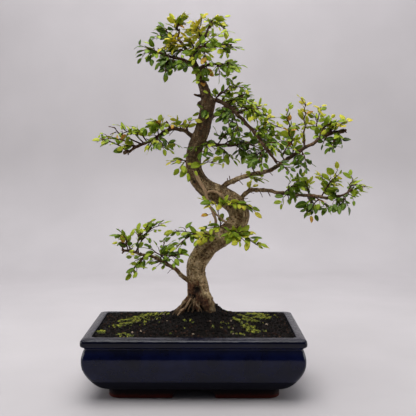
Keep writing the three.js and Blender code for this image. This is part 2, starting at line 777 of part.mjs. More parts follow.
// One spray: a stem with its side stems and leaves, as one body that ends just off the bark.
function growSpray([limbName, share, , ends], wood, grownWood, random) {
  const [x, y, z, radius] = limbPoint(limbName === "trunk" ? TRUNK : LIMBS[limbName], share);
  const others = [...grown, ...wood.filter((piece) => piece.name !== limbName)];
  const twigs = [];
  for (const end of ends) {
    const isStem = twigs.length === 0;
    const foot = isStem ? [x, y, z] : limbPoint(twigs[0].points, FORK_SHARE);
    const steps = isStem ? STEM_STEPS : SIDE_STEM_STEPS;
    const twig = clearTwig(new THREE.Vector3(...foot), new THREE.Vector3(...end), steps, others);
    twig.bare = isStem ? radius + BARE_STEM : BARE_SIDE_STEM;
    twigs.push(twig);
  }
  const leaves = [];
  for (const twig of twigs) {
    const obstacles = [...grown, ...wood, ...leaves, ...twigs.filter((other) => other !== twig)];
    leaves.push(...leafedTwig(twig.points, twig.bare, random, obstacles));
  }
  grown.push(...twigs, ...leaves);
  const whole = joined([...twigs, ...leaves].map((item) => item.solid));
  return largestBody(whole.subtract(grownWood[limbName]));
}

// The whole bonsai
function makeBonsai() {
  const bonsai = new THREE.Group();
  const pieces = woodPieces(0);
  const grownWood = woodPieces(TOUCH_GAP);
  const soil = makeSoil(grownWood);
  bonsai.add(meshOf("pot", makePot(), MATERIALS.glaze));
  bonsai.add(meshOf("soil", soil, MATERIALS.soil));
  bonsai.add(meshOf("drainage_screen_left", makeScreen(-1), MATERIALS.screen));
  bonsai.add(meshOf("drainage_screen_right", makeScreen(1), MATERIALS.screen));
  bonsai.add(meshOf("tree", joined(Object.values(pieces)), MATERIALS.bark));
  const wood = Object.entries(pieces).map(([name, solid]) => ({ name, solid, ...ballOf(solid) }));
  wood.push({ name: "soil", solid: soil, ...ballOf(soil) });
  const random = seededRandom(SEED);
  const counts = {};
  for (const spray of SPRAYS) {
    const [limbName, , tint] = spray;
    counts[limbName] = (counts[limbName] ?? 0) + 1;
    const solid = growSpray(spray, wood, grownWood, random);
    bonsai.add(meshOf(`spray_${limbName}_${counts[limbName]}`, solid, MATERIALS[tint]));
  }
  return bonsai;
}

const bonsai = makeBonsai();
const bounds = new THREE.Box3().setFromObject(bonsai);
const middle = bounds.getCenter(new THREE.Vector3());
bonsai.position.set(-middle.x, -middle.y, -bounds.min.z);
bonsai.updateMatrixWorld(true);

export default bonsai;
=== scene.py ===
# %% [markdown]
# # A Chinese elm bonsai in its glazed pot
#
# The real tree is about 45 cm tall and grows in a 25 cm stoneware pot. A grower bends the trunk
# with wire while it is thin, lets it thicken for ten years or so, and clips every new shoot back
# to two or three leaves, so that the leaves stay small and the shoots fork again and again.
#
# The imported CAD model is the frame, and the pot's place and outer size are read from it. This
# script holds the routes of trunk, branches and shoots again, and grows bark, roots, moss, gritty
# soil and toothed leaves on them.

# %% Load the frame
import math

import bpy
import numpy as np
from mathutils import Matrix, Vector, kdtree, noise


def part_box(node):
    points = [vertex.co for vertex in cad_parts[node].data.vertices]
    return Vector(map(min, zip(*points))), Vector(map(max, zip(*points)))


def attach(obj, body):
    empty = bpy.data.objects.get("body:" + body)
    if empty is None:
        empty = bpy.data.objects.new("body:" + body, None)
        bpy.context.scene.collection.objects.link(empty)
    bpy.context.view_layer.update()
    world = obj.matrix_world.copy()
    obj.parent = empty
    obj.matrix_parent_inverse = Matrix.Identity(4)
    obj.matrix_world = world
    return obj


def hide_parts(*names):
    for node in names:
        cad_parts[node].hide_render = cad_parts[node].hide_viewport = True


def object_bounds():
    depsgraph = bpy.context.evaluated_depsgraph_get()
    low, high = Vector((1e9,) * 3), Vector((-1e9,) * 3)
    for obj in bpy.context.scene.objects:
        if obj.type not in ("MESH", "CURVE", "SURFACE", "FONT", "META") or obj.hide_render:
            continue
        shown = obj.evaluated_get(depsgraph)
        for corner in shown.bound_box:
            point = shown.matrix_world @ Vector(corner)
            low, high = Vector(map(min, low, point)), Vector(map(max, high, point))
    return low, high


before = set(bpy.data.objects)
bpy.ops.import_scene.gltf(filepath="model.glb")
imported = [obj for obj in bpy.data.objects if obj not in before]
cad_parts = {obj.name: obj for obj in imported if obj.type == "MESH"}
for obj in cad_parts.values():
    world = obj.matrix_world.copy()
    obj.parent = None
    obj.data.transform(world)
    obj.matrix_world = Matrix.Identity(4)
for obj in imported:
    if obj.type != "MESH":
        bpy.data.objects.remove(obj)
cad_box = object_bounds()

print("nodes in the frame:", len(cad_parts))

# %% [markdown]
# ## Sizes
#
# Lengths below are millimetres, measured from the middle of the pot at floor level, as a potter
# or a grower would give them. `POT_X` is where that middle lies in the frame, because the frame's
# origin is the middle of the whole tree's box.

# %% Sizes
MM = 0.001
POT_LOW, POT_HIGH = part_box("pot")
POT_X = (POT_LOW.x + POT_HIGH.x) / 2 / MM
POT_WIDTH = (POT_HIGH.x - POT_LOW.x) / MM
POT_DEPTH = (POT_HIGH.y - POT_LOW.y) / MM
POT_HEIGHT = (POT_HIGH.z - POT_LOW.z) / MM
CORNER_RADIUS = 5
CORNER_SOFTENING = 0.25  # how much rounder a corner gets for each millimetre of inset
FLOOR_TOP = 17.2
UNDERSIDE = 9.8  # height of the pot's bottom above the table
DRAIN_RADIUS = 8
DRAIN_OFFSET = 55
FRONT_ARCH = 50  # width of the gap between two feet
SIDE_ARCH = 30
FOOT_INSIDE = 46
SOIL_EDGE = 71.5  # height of the soil along the pot's wall
MOUND_RISE = 25  # the soil's mound round the trunk
MOUND_X = 6
MOUND_SPREAD_X = 55
MOUND_SPREAD_Y = 42
LEAF_LENGTH = 13.5
LEAF_WIDTH = 7.8
LEAF_SPACING = 4.6
SEED = 20

# The pot's wall, as inset from the outermost line of the rim, and height.
POT_WALL = [
    (27, UNDERSIDE), (26.6, 10.4), (17.8, 14.4), (10.8, 22), (6, 29.5), (2.8, 36.5),
    (1.1, 43), (0.8, 49.5), (1.4, 54.5), (2.5, 58.6), (3.5, 61.2), (3.9, 62.5), (3.2, 63.7),
    (1.7, 64.7), (0.5, 65.9), (0, 67.4), (0, 69.8), (0.15, 71.1), (0.45, 72), (1, 72.8),
    (1.9, 73.5), (3.5, 74.1), (6, 74.7), (9.6, 75), (10.8, 74.4), (11.3, 73), (11.3, 69),
    (9.3, 55), (10.6, 40), (14.5, 31), (22, 22.8), (38, FLOOR_TOP),
]
# The feet's outer wall, the same way.
FOOT_WALL = [(29.4, 0), (28.6, 0.2), (27.8, 0.9), (27.5, 2), (27.5, 5), (27.5, 12)]

# %% [markdown]
# ## Routes of the wood
#
# Each limb is a list of points on its middle line, with its radius there: `(x, y, z, radius)`.
# Trunk and limbs follow the CAD model's routes within 3 mm, so the bark grows where the solid
# wood is. The trunk's foot, the roots, the first stub and the burls are shaped anew here.

# %% Routes of the wood
TRUNK = [
    (12, 3, 64, 11), (11, 2, 84, 12), (7.5, 1, 97, 13), (5, 0, 108, 13.4), (3.2, 0, 121, 12.9),
    (1.4, 0, 140, 11.6), (5.4, -1, 155, 11.8), (17, -2, 171, 12), (35, -3, 183, 12),
    (49, -3, 196, 12.2), (53, -3, 209, 12.2), (47, -2, 221, 11.8), (30, 0, 231, 11.4),
    (14, 2, 239, 11), (3, 4, 252, 10.2), (-2, 5, 267, 9.4), (-1, 4, 282, 8.8),
    (4, 3, 297, 9.4), (8, 1, 307, 9.4), (11, 0, 318, 8.8), (14, -1, 330, 8.2),
    (15, -2, 340, 8.4), (13, -3, 350, 6.6), (10, -2, 360, 6), (5, -1, 373, 4.4),
    (1, 0, 383, 3.8), (-2, 0, 391, 3.1), (-4, 1, 400, 2.6),
]
LIMBS = {
    "low_left": [
        (3, -1, 122, 3.4), (-12, -7, 132, 2.7), (-25, -12, 145, 2.4), (-46, -19, 158, 2),
        (-66, -23, 164, 1.7), (-85, -26, 167, 1.4),
    ],
    "mid_left": [
        (4, 3, 297, 3.2), (-7, 3, 304, 2.7), (-15, 2, 309, 2.4), (-30, 2, 310, 2.2),
        (-44, 4, 302, 2), (-62, 6, 293, 1.8), (-85, 9, 282, 1.5),
    ],
    "bare_twig": [(-64, 6, 292, 1.2), (-84, 1, 301, 1), (-103, -5, 312, 0.8)],
    "right_long": [
        (29, 0, 231, 4.2), (37, -5, 244, 3.3), (52, -12, 251, 2.9), (71, -18, 257, 2.7),
        (95, -24, 265, 2.4), (125, -27, 286, 2.1), (154, -28, 302, 1.8), (175, -28, 308, 1.4),
    ],
    "back_right": [
        (5, 3, 293, 3.2), (17, 9, 293, 2.8), (34, 20, 291, 2.4), (61, 36, 293, 2),
        (88, 48, 297, 1.4),
    ],
    "upper_right": [
        (14, -2, 339, 3.4), (21, -5, 343, 2.9), (29, -7, 343, 2.5), (44, -14, 332, 2.3),
        (67, -28, 307, 2), (84, -38, 282, 1.7), (94, -42, 269, 1.3),
    ],
    "lower_right": [
        (50, -2, 213, 3.6), (55, -5, 226, 2.9), (62, -11, 235, 2.6), (72, -16, 238, 2.4),
        (102, -24, 235, 2.1), (139, -31, 231, 1.8), (166, -34, 231, 1.6), (181, -36, 240, 1.2),
    ],
    "back_upper": [(11, 0, 318, 3), (23, 20, 327, 2.2), (41, 38, 333, 1.8), (59, 54, 333, 1.3)],
    "crown_left": [(-4, 1, 396, 2.6), (-15, 6, 410, 2), (-21, 10, 420, 1.6), (-20, 12, 430, 1.1)],
    "crown_right": [(-4, 1, 398, 2.4), (10, -8, 407, 2), (25, -13, 406, 1.6), (43, -18, 407, 1.1)],
    "crown_top": [(-4, 1, 399, 2.4), (6, 3, 411, 2), (14, 6, 423, 1.6), (19, 9, 435, 1)],
    "crown_low_left": [
        (0, 0, 383, 2.6), (-13, -4, 391, 2.1), (-29, -10, 394, 1.7), (-43, -15, 398, 1.4),
        (-56, -18, 403, 1),
    ],
    "crown_low_right": [
        (3, -1, 379, 2.6), (11, -4, 384, 2.1), (23, -9, 386, 1.7), (48, -16, 383, 1.1),
    ],
    "crown_back": [(-3, 1, 394, 2.4), (0, 16, 408, 1.9), (5, 30, 419, 1.5), (6, 42, 427, 1)],
}
ROOTS = [
    [(7, 0, 126, 6), (9, -3, 116, 7.6), (12.5, -6, 107, 8.2), (16, -8, 97, 8.6), (18, -8, 86, 6)],
    [(1, -2, 117, 5.5), (-6, -5, 108, 3.8), (-13, -8, 101, 2.4), (-20, -10, 93, 1.7),
     (-27, -12, 82, 1.2)],
    [(-2, -8, 109, 2.4), (-8, -11, 102, 1.8), (-14, -14, 95, 1.4), (-20, -16, 84, 1.1)],
    [(4, -10, 107, 2.6), (1, -13, 101, 1.9), (3, -15, 94, 1.4), (2, -17, 84, 1.1)],
    [(-1, 2, 111, 6), (-10, 3, 99, 3.6), (-16, 5, 90, 2.4), (-24, 7, 80, 1.6)],
    [(11, 1, 113, 6.6), (16.5, 1, 103, 5.2), (22, 1, 93, 4.2), (28, 2, 80, 2.8)],
    [(5, 7, 112, 6.5), (6, 17, 99, 4.6), (8, 26, 88, 3), (10, 34, 76, 2)],
]
STUBS = [
    [(8, -3, 349, 2.6), (3, -7, 349, 1.6), (-1, -9, 350, 1.3)],
    [(-28, 2, 309, 1.8), (-32, -1, 315, 1.5), (-34, -2, 319, 1.3)],
    [(152, -28, 301, 1.4), (159, -31, 311, 1.1), (162, -32, 316, 0.9)],
]
# Burls: knobs where limbs were cut off long ago or where many shoots start.
BURLS = [
    [(10, -3, 341, 7.4), (21, -5, 341, 6.2)],
    [(7, -2, 339, 5), (5, -3, 339, 4)],
    [(14, -6, 183, 6), (13, -11, 185, 3.6)],
    [(165, -28, 305, 2.2), (172, -29, 307, 2.9)],
    [(-80, 9, 284, 2), (-86, 9, 281.5, 2.5)],
]

# %% [markdown]
# ## Routes of the leafy shoots
#
# The sprays stand under the limb that they leave. A spray is a list of twigs, each with how far
# along the limb it leaves, the age of its leaves, and the far ends of its stem and side stems.
# A few twigs leave the trunk instead, which then comes last. Most leaves of a spray are as old
# as those of its first twig: young ones are yellow-green, grown ones mid green, old ones dark,
# and a few have turned yellow before they fall.

# %% Routes of the leafy shoots
SPRAYS = [
    ("low_left", [
        [(0.83, "mid", [(-44, -16, 202)]),
         (0.8, "young", [(-66, -18, 195), (-52, -20, 201), (-37, -14, 199)])],
        [(0.92, "young", [(-82, -36, 190), (-94, -31, 178)]),
         (0.9, "young", [(-69, -34, 175), (-87, -30, 193)])],
        [(0.55, "mid", [(-32, -6, 186)])],
        [(0.46, "mid", [(-58, -34, 174), (-12, -24, 155)]),
         (0.48, "mid", [(-49, -26, 154), (-35, -24, 147), (-9, -22, 165)])],
        [(0.68, "young", [(-77, -32, 138)]), (0.7, "young", [(-67, -30, 153), (-77, -32, 137)])],
    ]),
    ("trunk", [
        [(0.27, "mid", [(-27, -16, 190), (-26, -26, 169)]),
         (0.275, "young", [(16, -28, 186), (2, -20, 179)])],
        [(0.29, "young", [(25, -16, 221)]),
         (0.4, "young", [(15, -20, 220), (44, -22, 218), (72, -24, 215)])],
        [(0.3, "young", [(78, -36, 173), (8, -32, 195)]),
         (0.31, "young", [(61, -36, 178), (48, -34, 181), (54, -30, 185)])],
    ]),
    ("mid_left", [
        [(0.98, "mid", [(-117, -6, 299)]),
         (0.9, "mid", [(-76, 0, 293), (-90, -2, 288), (-116, -4, 298)])],
        [(0.83, "mid", [(-84, -4, 312), (-62, -10, 310)]),
         (0.8, "mid", [(-72, -6, 314), (-92, -6, 305)])],
        [(0.66, "mid", [(-47, -6, 319), (-51, 38, 313)]),
         (0.6, "mid", [(-48, -8, 322), (-32, -6, 314)])],
        [(0.6, "dark", [(-53, -10, 286), (-26, -10, 287)]),
         (0.62, "mid", [(-59, -8, 288), (-34, -8, 282), (-43, -10, 290)])],
        [(0.41, "mid", [(-19, -10, 323)]), (0.35, "young", [(-12, -10, 322)])],
        [(0.23, "young", [(-5, -14, 320)])],
    ]),
    ("trunk", [
        [(0.56, "young", [(-32, -16, 271), (-6, -24, 254)]), (0.6, "mid", [(3, -14, 288)])],
        [(0.55, "young", [(28, -18, 270)]), (0.6, "dark", [(14, -16, 281)])],
    ]),
    ("back_right", [
        [(0.41, "dark", [(38, 18, 308), (55, 28, 312)]),
         (0.5, "mid", [(64, 20, 303), (50, 18, 300)]), (0.15, "mid", [(16, 4, 284), (29, 0, 285)])],
        [(0.65, "dark", [(69, 12, 268)]),
         (0.6, "dark", [(72, 14, 286), (82, 16, 288), (62, 12, 285)]),
         (0.35, "mid", [(40, 8, 277), (50, 6, 270)])],
        [(0.82, "mid", [(84, 50, 316)])],
        [(0.95, "mid", [(110, 42, 307), (89, 38, 277)]),
         (0.85, "mid", [(102, 36, 291), (93, 36, 303)])],
    ]),
    ("back_upper", [
        [(0.52, "mid", [(50, 28, 347), (68, 30, 338)])],
        [(0.85, "mid", [(76, 62, 338)])],
    ]),
    ("upper_right", [
        [(0.36, "young", [(55, -14, 365)]),
         (0.25, "mid", [(29, -12, 355), (44, -12, 361), (62, -16, 360)]),
         (0.87, "mid", [(15, -10, 367)], "trunk")],
        [(0.45, "mid", [(67, -20, 351)]), (0.4, "mid", [(71, -22, 341), (65, -20, 353)])],
        [(0.54, "young", [(80, -26, 333), (78, -34, 319)]),
         (0.5, "young", [(84, -28, 331), (88, -30, 313), (71, -28, 317)])],
        [(0.43, "dark", [(31, -22, 321), (41, -32, 306)]),
         (0.45, "dark", [(53, -30, 301), (44, -26, 295)]),
         (0.76, "mid", [(15, -14, 323)], "trunk")],
        [(0.68, "young", [(97, -36, 325), (104, -46, 308)]),
         (0.66, "mid", [(91, -36, 305), (82, -34, 298)])],
        [(0.77, "mid", [(104, -52, 290)])],
        [(0.83, "dark", [(68, -52, 270)]), (0.8, "dark", [(59, -46, 264), (77, -46, 264)])],
        [(0.96, "dark", [(111, -54, 255)])],
    ]),
    ("right_long", [
        [(0.66, "young", [(115, -12, 318), (106, -22, 332)]),
         (0.62, "mid", [(94, -28, 289), (119, -24, 303)])],
        [(0.72, "yellow", [(130, -9, 347)])],
        [(0.79, "young", [(145, -20, 333)]), (0.8, "young", [(161, -26, 327), (169, -30, 317)])],
        [(0.88, "yellow", [(179, -38, 321)]), (0.88, "mid", [(166, -34, 309), (152, -28, 315)])],
        [(0.93, "dark", [(171, -34, 286), (151, -38, 283)]), (0.85, "dark", [(145, -34, 287)])],
        [(0.71, "dark", [(128, -38, 266), (121, -36, 259)])],
        [(0.43, "dark", [(61, -34, 272)]), (0.35, "young", [(81, -30, 247), (74, -26, 251)])],
    ]),
    ("lower_right", [
        [(0.59, "mid", [(111, -34, 223), (117, -38, 249)]), (0.3, "yellow", [(65, -16, 245)])],
        [(0.69, "young", [(125, -22, 258)]),
         (0.58, "mid", [(126, -26, 247), (137, -30, 242), (119, -30, 227)])],
        [(0.81, "young", [(144, -24, 259), (168, -44, 261)]),
         (0.75, "young", [(155, -30, 244), (161, -34, 253)])],
        [(0.95, "young", [(186, -24, 253), (200, -42, 242)]),
         (0.93, "mid", [(181, -36, 232), (188, -30, 241)])],
        [(0.9, "dark", [(179, -36, 215), (167, -40, 220)]),
         (0.85, "dark", [(167, -40, 220), (163, -38, 231)])],
        [(0.71, "mid", [(157, -42, 213), (128, -36, 209)]),
         (0.68, "dark", [(141, -38, 206), (136, -34, 220)])],
    ]),
    ("crown_left", [
        [(0.92, "mid", [(-32, 10, 436), (-7, 2, 438), (-22, 20, 440)]),
         (0.92, "mid", [(-25, 8, 446), (-13, 14, 445)])],
        [(0.68, "dark", [(-52, 2, 417), (-40, -8, 431)]),
         (0.5, "mid", [(-30, 4, 411), (-33, -10, 418)])],
        [(0.3, "yellow", [(-40, -12, 405), (-24, -16, 418), (-26, -14, 399)]),
         (0.15, "dark", [(-26, -14, 399), (-36, -8, 395)])],
    ]),
    ("crown_top", [
        [(0.45, "yellow", [(-2, -12, 428), (8, -8, 442)]),
         (0.15, "yellow", [(-6, -14, 404), (-12, -10, 421)]),
         (0.55, "young", [(-16, -8, 427), (1, -4, 436)])],
        [(0.86, "mid", [(36, 8, 442), (40, -2, 423), (16, 22, 440)]),
         (0.85, "mid", [(23, 6, 447), (32, 0, 444), (23, -6, 427)])],
    ]),
    ("crown_low_left", [
        [(0.85, "dark", [(-66, -24, 398), (-49, -24, 384)]),
         (0.8, "mid", [(-43, -22, 396), (-53, -20, 406)])],
        [(0.41, "dark", [(-32, -18, 374), (-16, -20, 380), (-33, -22, 390)]),
         (0.5, "dark", [(-33, -22, 390), (-41, -10, 382), (-36, -16, 369)]),
         (0.2, "dark", [(-12, -18, 376), (-5, -16, 382)])],
    ]),
    ("crown_right", [
        [(0.73, "mid", [(47, -26, 400), (32, -22, 391)]),
         (0.8, "mid", [(41, -20, 393), (37, -14, 415)])],
        [(0.3, "mid", [(13, -24, 384), (24, -26, 417)]),
         (0.15, "young", [(-2, -18, 403), (16, -20, 392)])],
    ]),
    ("crown_low_right", [
        [(0.72, "mid", [(29, -18, 364), (54, -22, 381)]),
         (0.35, "mid", [(17, -14, 376), (11, -10, 369)]),
         (0.85, "mid", [(47, -18, 388), (39, -20, 373)])],
    ]),
    ("crown_back", [
        [(0.8, "mid", [(-14, 40, 425), (24, 44, 432)])],
    ]),
]

# %% [markdown]
# ## Camera, light and floor
#
# A product photographer stands a tree like this on a table with a pale sweep behind it, lights it
# with large softboxes and shoots from a little above the rim, so that the soil's surface and the
# trunk's line both show. The camera below has that height and angle, and the sweep is one curved
# sheet, so no line crosses the picture behind the trunk.

# %% Camera, light and floor
CAMERA_PLACE = (15.6, -844.7, 267.6)  # mm from the middle of the pot
CAMERA_PITCH = math.radians(3.52)
CAMERA_ROLL = math.radians(-0.11)
SENSOR_WIDTH = 36  # mm
FOCAL_PIXELS = 704.6
IMAGE_PIXELS = 416
TREE_MIDDLE = (20, 0, 220)
# Each light: its place and aim in mm, its two sizes in m, its power in watts and its colour.
LIGHTS = {
    "top softbox": ((-20, -40, 1150), TREE_MIDDLE, (0.8, 0.6), 9, (1, 0.99, 0.97)),
    "front softbox": ((-230, -720, 1300), TREE_MIDDLE, (0.9, 0.5), 8, (1, 1, 1)),
    # Low and weak: these two only open up the shade beside the feet.
    "side softbox -1": ((-1300, 60, 330), (0, 0, 20), (1.2, 0.5), 6, (1, 1, 1)),
    "side softbox 1": ((1300, 60, 330), (0, 0, 20), (1.2, 0.5), 6, (1, 1, 1)),
    "backdrop wash": ((60, 620, 1450), (0, 1150, 720), (1.8, 0.4), 15, (0.97, 0.96, 1)),
}


def in_frame(x, y, z):
    """A place given in millimetres from the pot's middle, as metres in the frame."""
    return Vector(((x + POT_X) * MM, y * MM, z * MM))


def new_object(name, data):
    made = bpy.data.objects.new(name, data)
    bpy.context.scene.collection.objects.link(made)
    return made


def add_camera():
    data = bpy.data.cameras.new("camera")
    data.sensor_width = SENSOR_WIDTH
    data.lens = SENSOR_WIDTH * FOCAL_PIXELS / IMAGE_PIXELS
    camera = new_object("camera", data)
    camera.location = in_frame(*CAMERA_PLACE)
    camera.rotation_euler = (math.pi / 2 - CAMERA_PITCH, CAMERA_ROLL, 0)
    bpy.context.scene.camera = camera


def add_light(name, place, target, size, power, colour):
    data = bpy.data.lights.new(name, "AREA")
    data.shape = "RECTANGLE"
    data.size, data.size_y = size
    data.energy = power
    data.color = colour
    light = new_object(name, data)
    light.location = in_frame(*place)
    aim = in_frame(*target) - light.location
    light.rotation_euler = aim.to_track_quat("-Z", "Y").to_euler()


add_camera()
for name, settings in LIGHTS.items():
    add_light(name, *settings)
print("camera at", tuple(round(v, 3) for v in bpy.context.scene.camera.location))

# %% [markdown]
# ## Small helpers
#
# A shape gathers points, faces and one value per point under a name, such as a leaf's age, which
# its material reads later. `add_node` puts one shader node into a material, and the functions
# after it name the few kinds that bark, glaze, soil and leaves are mixed from.

# %% Helpers for meshes


class Shape:
    def __init__(self):
        self.points = []
        self.faces = []
        self.values = {}
        self.count = 0

    def add(self, points, faces, **values):
        """Adds points (n by 3, millimetres) and faces (lists of their numbers)."""
        points = np.asarray(points, float)
        for name, value in values.items():
            value = np.asarray(value, float)
            width = 3 if value.ndim and value.shape[-1] == 3 else 1
            full = np.broadcast_to(value.reshape(-1, width), (len(points), width))
            self.values.setdefault(name, []).append(full)
        self.points.append(points)
        self.faces.extend([[i + self.count for i in face] for face in faces])
        self.count += len(points)


def mesh_of(name, shape):
    """A mesh in metres, in the frame, with the shape's values as attributes."""
    places = (np.concatenate(shape.points) + (POT_X, 0, 0)) * MM
    mesh = bpy.data.meshes.new(name)
    mesh.from_pydata(places.tolist(), [], shape.faces)
    for key, parts in shape.values.items():
        set_values(mesh, key, np.concatenate(parts))
    return mesh


def set_values(mesh, key, value):
    wide = value.ndim > 1 and value.shape[1] == 3
    kind = "FLOAT_VECTOR" if wide else "FLOAT"
    attribute = mesh.attributes.new(key, kind, "POINT")
    attribute.data.foreach_set("vector" if wide else "value", value.ravel().astype(np.float32))


def add_piece(name, mesh, material, replaces=(), smooth=True):
    piece = new_object(name, mesh)
    for each in material if isinstance(material, list) else [material]:
        mesh.materials.append(each)
    mesh.polygons.foreach_set("use_smooth", [smooth] * len(mesh.polygons))
    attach(piece, "root")
    if replaces:
        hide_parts(*replaces)


def with_modifiers(piece):
    """The piece's mesh with its modifiers applied; the piece itself is removed."""
    graph = bpy.context.evaluated_depsgraph_get()
    mesh = bpy.data.meshes.new_from_object(piece.evaluated_get(graph))
    bpy.data.objects.remove(piece)
    return mesh


def unit(vector):
    return vector / np.linalg.norm(vector)


def clamp(value):
    """The value, held between 0 and 1."""
    return min(max(value, 0), 1)


def walked_along(places):
    """How far along its line each place lies."""
    return np.concatenate([[0], np.cumsum(np.linalg.norm(np.diff(places, axis=0), axis=1))])


def loft_faces(rings, count, closed_ends=True):
    """Quads between rings of points, and a flat face at each end."""
    faces = []
    for ring in range(rings - 1):
        for i in range(count):
            j = (i + 1) % count
            low, high = ring * count, (ring + 1) * count
            faces.append([low + i, low + j, high + j, high + i])
    if closed_ends:
        faces.append(list(range(count))[::-1])
        faces.append([(rings - 1) * count + i for i in range(count)])
    return faces


# %% Helpers for materials


def linear(colour):
    """An sRGB hex colour as the linear values that a shader takes."""
    channels = [int(colour[i : i + 2], 16) / 255 for i in (1, 3, 5)]
    return [c / 12.92 if c <= 0.04045 else ((c + 0.055) / 1.055) ** 2.4 for c in channels] + [1]


def per_mm(size):
    """A noise scale whose bumps are about this many millimetres wide."""
    return 1 / (size * MM)


def add_node(tree, kind, inputs=None, **settings):
    """Adds a node. Its inputs are numbers, hex colours or outputs of other nodes."""
    node = tree.nodes.new(kind)
    for key, value in settings.items():
        setattr(node, key, value)
    for key, value in (inputs or {}).items():
        if isinstance(value, bpy.types.NodeSocket):
            tree.links.new(value, node.inputs[key])
        else:
            node.inputs[key].default_value = linear(value) if isinstance(value, str) else value
    return node


def add_spot(tree, output="Object"):
    """Where on the object a point lies, in metres."""
    return add_node(tree, "ShaderNodeTexCoord").outputs[output]


def add_height(tree, spot):
    return add_node(tree, "ShaderNodeSeparateXYZ", {"Vector": spot}).outputs["Z"]


def add_attribute(tree, name, output="Fac"):
    """A value that the mesh carries on its points."""
    return add_node(tree, "ShaderNodeAttribute", attribute_name=name).outputs[output]


def add_noise(tree, spot, size, detail, roughness=0.5):
    """Cloudy noise whose bumps are about this many millimetres wide."""
    inputs = {"Vector": spot, "Scale": per_mm(size), "Detail": detail, "Roughness": roughness}
    return add_node(tree, "ShaderNodeTexNoise", inputs).outputs["Fac"]


def add_stretch(tree, spot, scale):
    return add_node(tree, "ShaderNodeMapping", {"Vector": spot, "Scale": scale}).outputs["Vector"]


def add_range(tree, value, start, end, low=0.0, high=1.0):
    """Goes from low to high while the value goes from start to end, and stops there."""
    inputs = {"Value": value, "From Min": start, "From Max": end, "To Min": low, "To Max": high}
    return add_node(tree, "ShaderNodeMapRange", inputs).outputs["Result"]


def add_math(tree, operation, *terms):
    node = add_node(tree, "ShaderNodeMath", dict(enumerate(terms)), operation=operation)
    return node.outputs["Value"]


def add_ramp(tree, value, stops):
    """A colour ramp over a value: stops are (position, hex colour)."""
    ramp = add_node(tree, "ShaderNodeValToRGB", {"Fac": value})
    elements = ramp.color_ramp.elements
    while len(elements) < len(stops):
        elements.new(0.5)
    for element, (position, colour) in zip(elements, stops):
        element.position = position
        element.color = linear(colour)
    return ramp.outputs["Color"]


def add_mix(tree, share, under, over, blend_type="MIX"):
    """One colour laid over another, as far as the share says."""
    inputs = {"Factor": share, "A": under, "B": over}
    node = add_node(tree, "ShaderNodeMix", inputs, data_type="RGBA", blend_type=blend_type)
    return node.outputs["Result"]


def add_bump(tree, relief, strength, distance, below=None, invert=False):
    """Fine relief, as high as the distance in metres, on top of the bump below it."""
    inputs = {"Height": relief, "Strength": strength, "Distance": distance}
    if below:
        inputs["Normal"] = below
    return add_node(tree, "ShaderNodeBump", inputs, invert=invert).outputs["Normal"]


def new_material(name, **surface):
    """A material whose Principled surface has these values, and its node tree."""
    material = bpy.data.materials.new(name)
    material.use_nodes = True
    shader = material.node_tree.nodes["Principled BSDF"]
    for key, value in surface.items():
        shader.inputs[key.replace("_", " ")].default_value = value
    return material, material.node_tree


def painted(material, colour, bump=None):
    """The material with this colour, and this bump if it has one, on its surface."""
    tree = material.node_tree
    shader = tree.nodes["Principled BSDF"]
    tree.links.new(colour, shader.inputs["Base Color"])
    if bump:
        tree.links.new(bump, shader.inputs["Normal"])
    return material


# %% [markdown]
# ## The floor
#
# The sweep is painted board: pale, matt and faintly warm.

# %% Floor and backdrop


SWEEP_HALF_WIDTH = 1900
SWEEP_FRONT = -1500
SWEEP_BACK = 1150
SWEEP_TOP = 1900
SWEEP_BEND = 300
SWEEP_LEVEL = -0.4  # just under the feet
BEND_STEPS = 12


def backdrop_material():
    # Matt painted board. A slow, weak mottling keeps it from looking like flat computer grey.
    material, tree = new_material("pale matt painted board", Roughness=0.85)
    mottle = add_noise(tree, add_spot(tree), 180, 3)
    return painted(material, add_ramp(tree, mottle, [(0.3, "#aba7a8"), (0.7, "#b2aeaf")]))


def add_backdrop():
    outline = [(SWEEP_FRONT, SWEEP_LEVEL), (SWEEP_BACK - SWEEP_BEND, SWEEP_LEVEL)]
    for step in range(1, BEND_STEPS + 1):
        angle = step / BEND_STEPS * math.pi / 2
        y = SWEEP_BACK - SWEEP_BEND + SWEEP_BEND * math.sin(angle)
        outline.append((y, SWEEP_BEND * (1 - math.cos(angle)) + SWEEP_LEVEL))
    outline.append((SWEEP_BACK, SWEEP_TOP))
    shape = Shape()
    points = [(x, y, z) for y, z in outline for x in (-SWEEP_HALF_WIDTH, SWEEP_HALF_WIDTH)]
    faces = [[2 * i, 2 * i + 1, 2 * i + 3, 2 * i + 2] for i in range(len(outline) - 1)]
    shape.add(points, faces)
    mesh = mesh_of("backdrop", shape)
    mesh.materials.append(backdrop_material())
    mesh.polygons.foreach_set("use_smooth", [True] * len(mesh.polygons))
    new_object("backdrop", mesh)


def set_room_light():
    """The unlit room: dark round the horizon, and a bright ceiling."""
    world = bpy.data.worlds.new("room")
    world.use_nodes = True
    tree = world.node_tree
    background = tree.nodes["Background"]
    stops = [(0.0, "#26262a"), (0.2, "#34343a"), (0.6, "#7c7d85"), (1.0, "#d6d7de")]
    sky = add_ramp(tree, add_height(tree, add_spot(tree, "Generated")), stops)
    tree.links.new(sky, background.inputs["Color"])
    background.inputs["Strength"].default_value = 0.8
    bpy.context.scene.world = world


add_backdrop()
set_room_light()
bpy.context.scene.view_settings.view_transform = "Standard"
print("floor and backdrop staged")
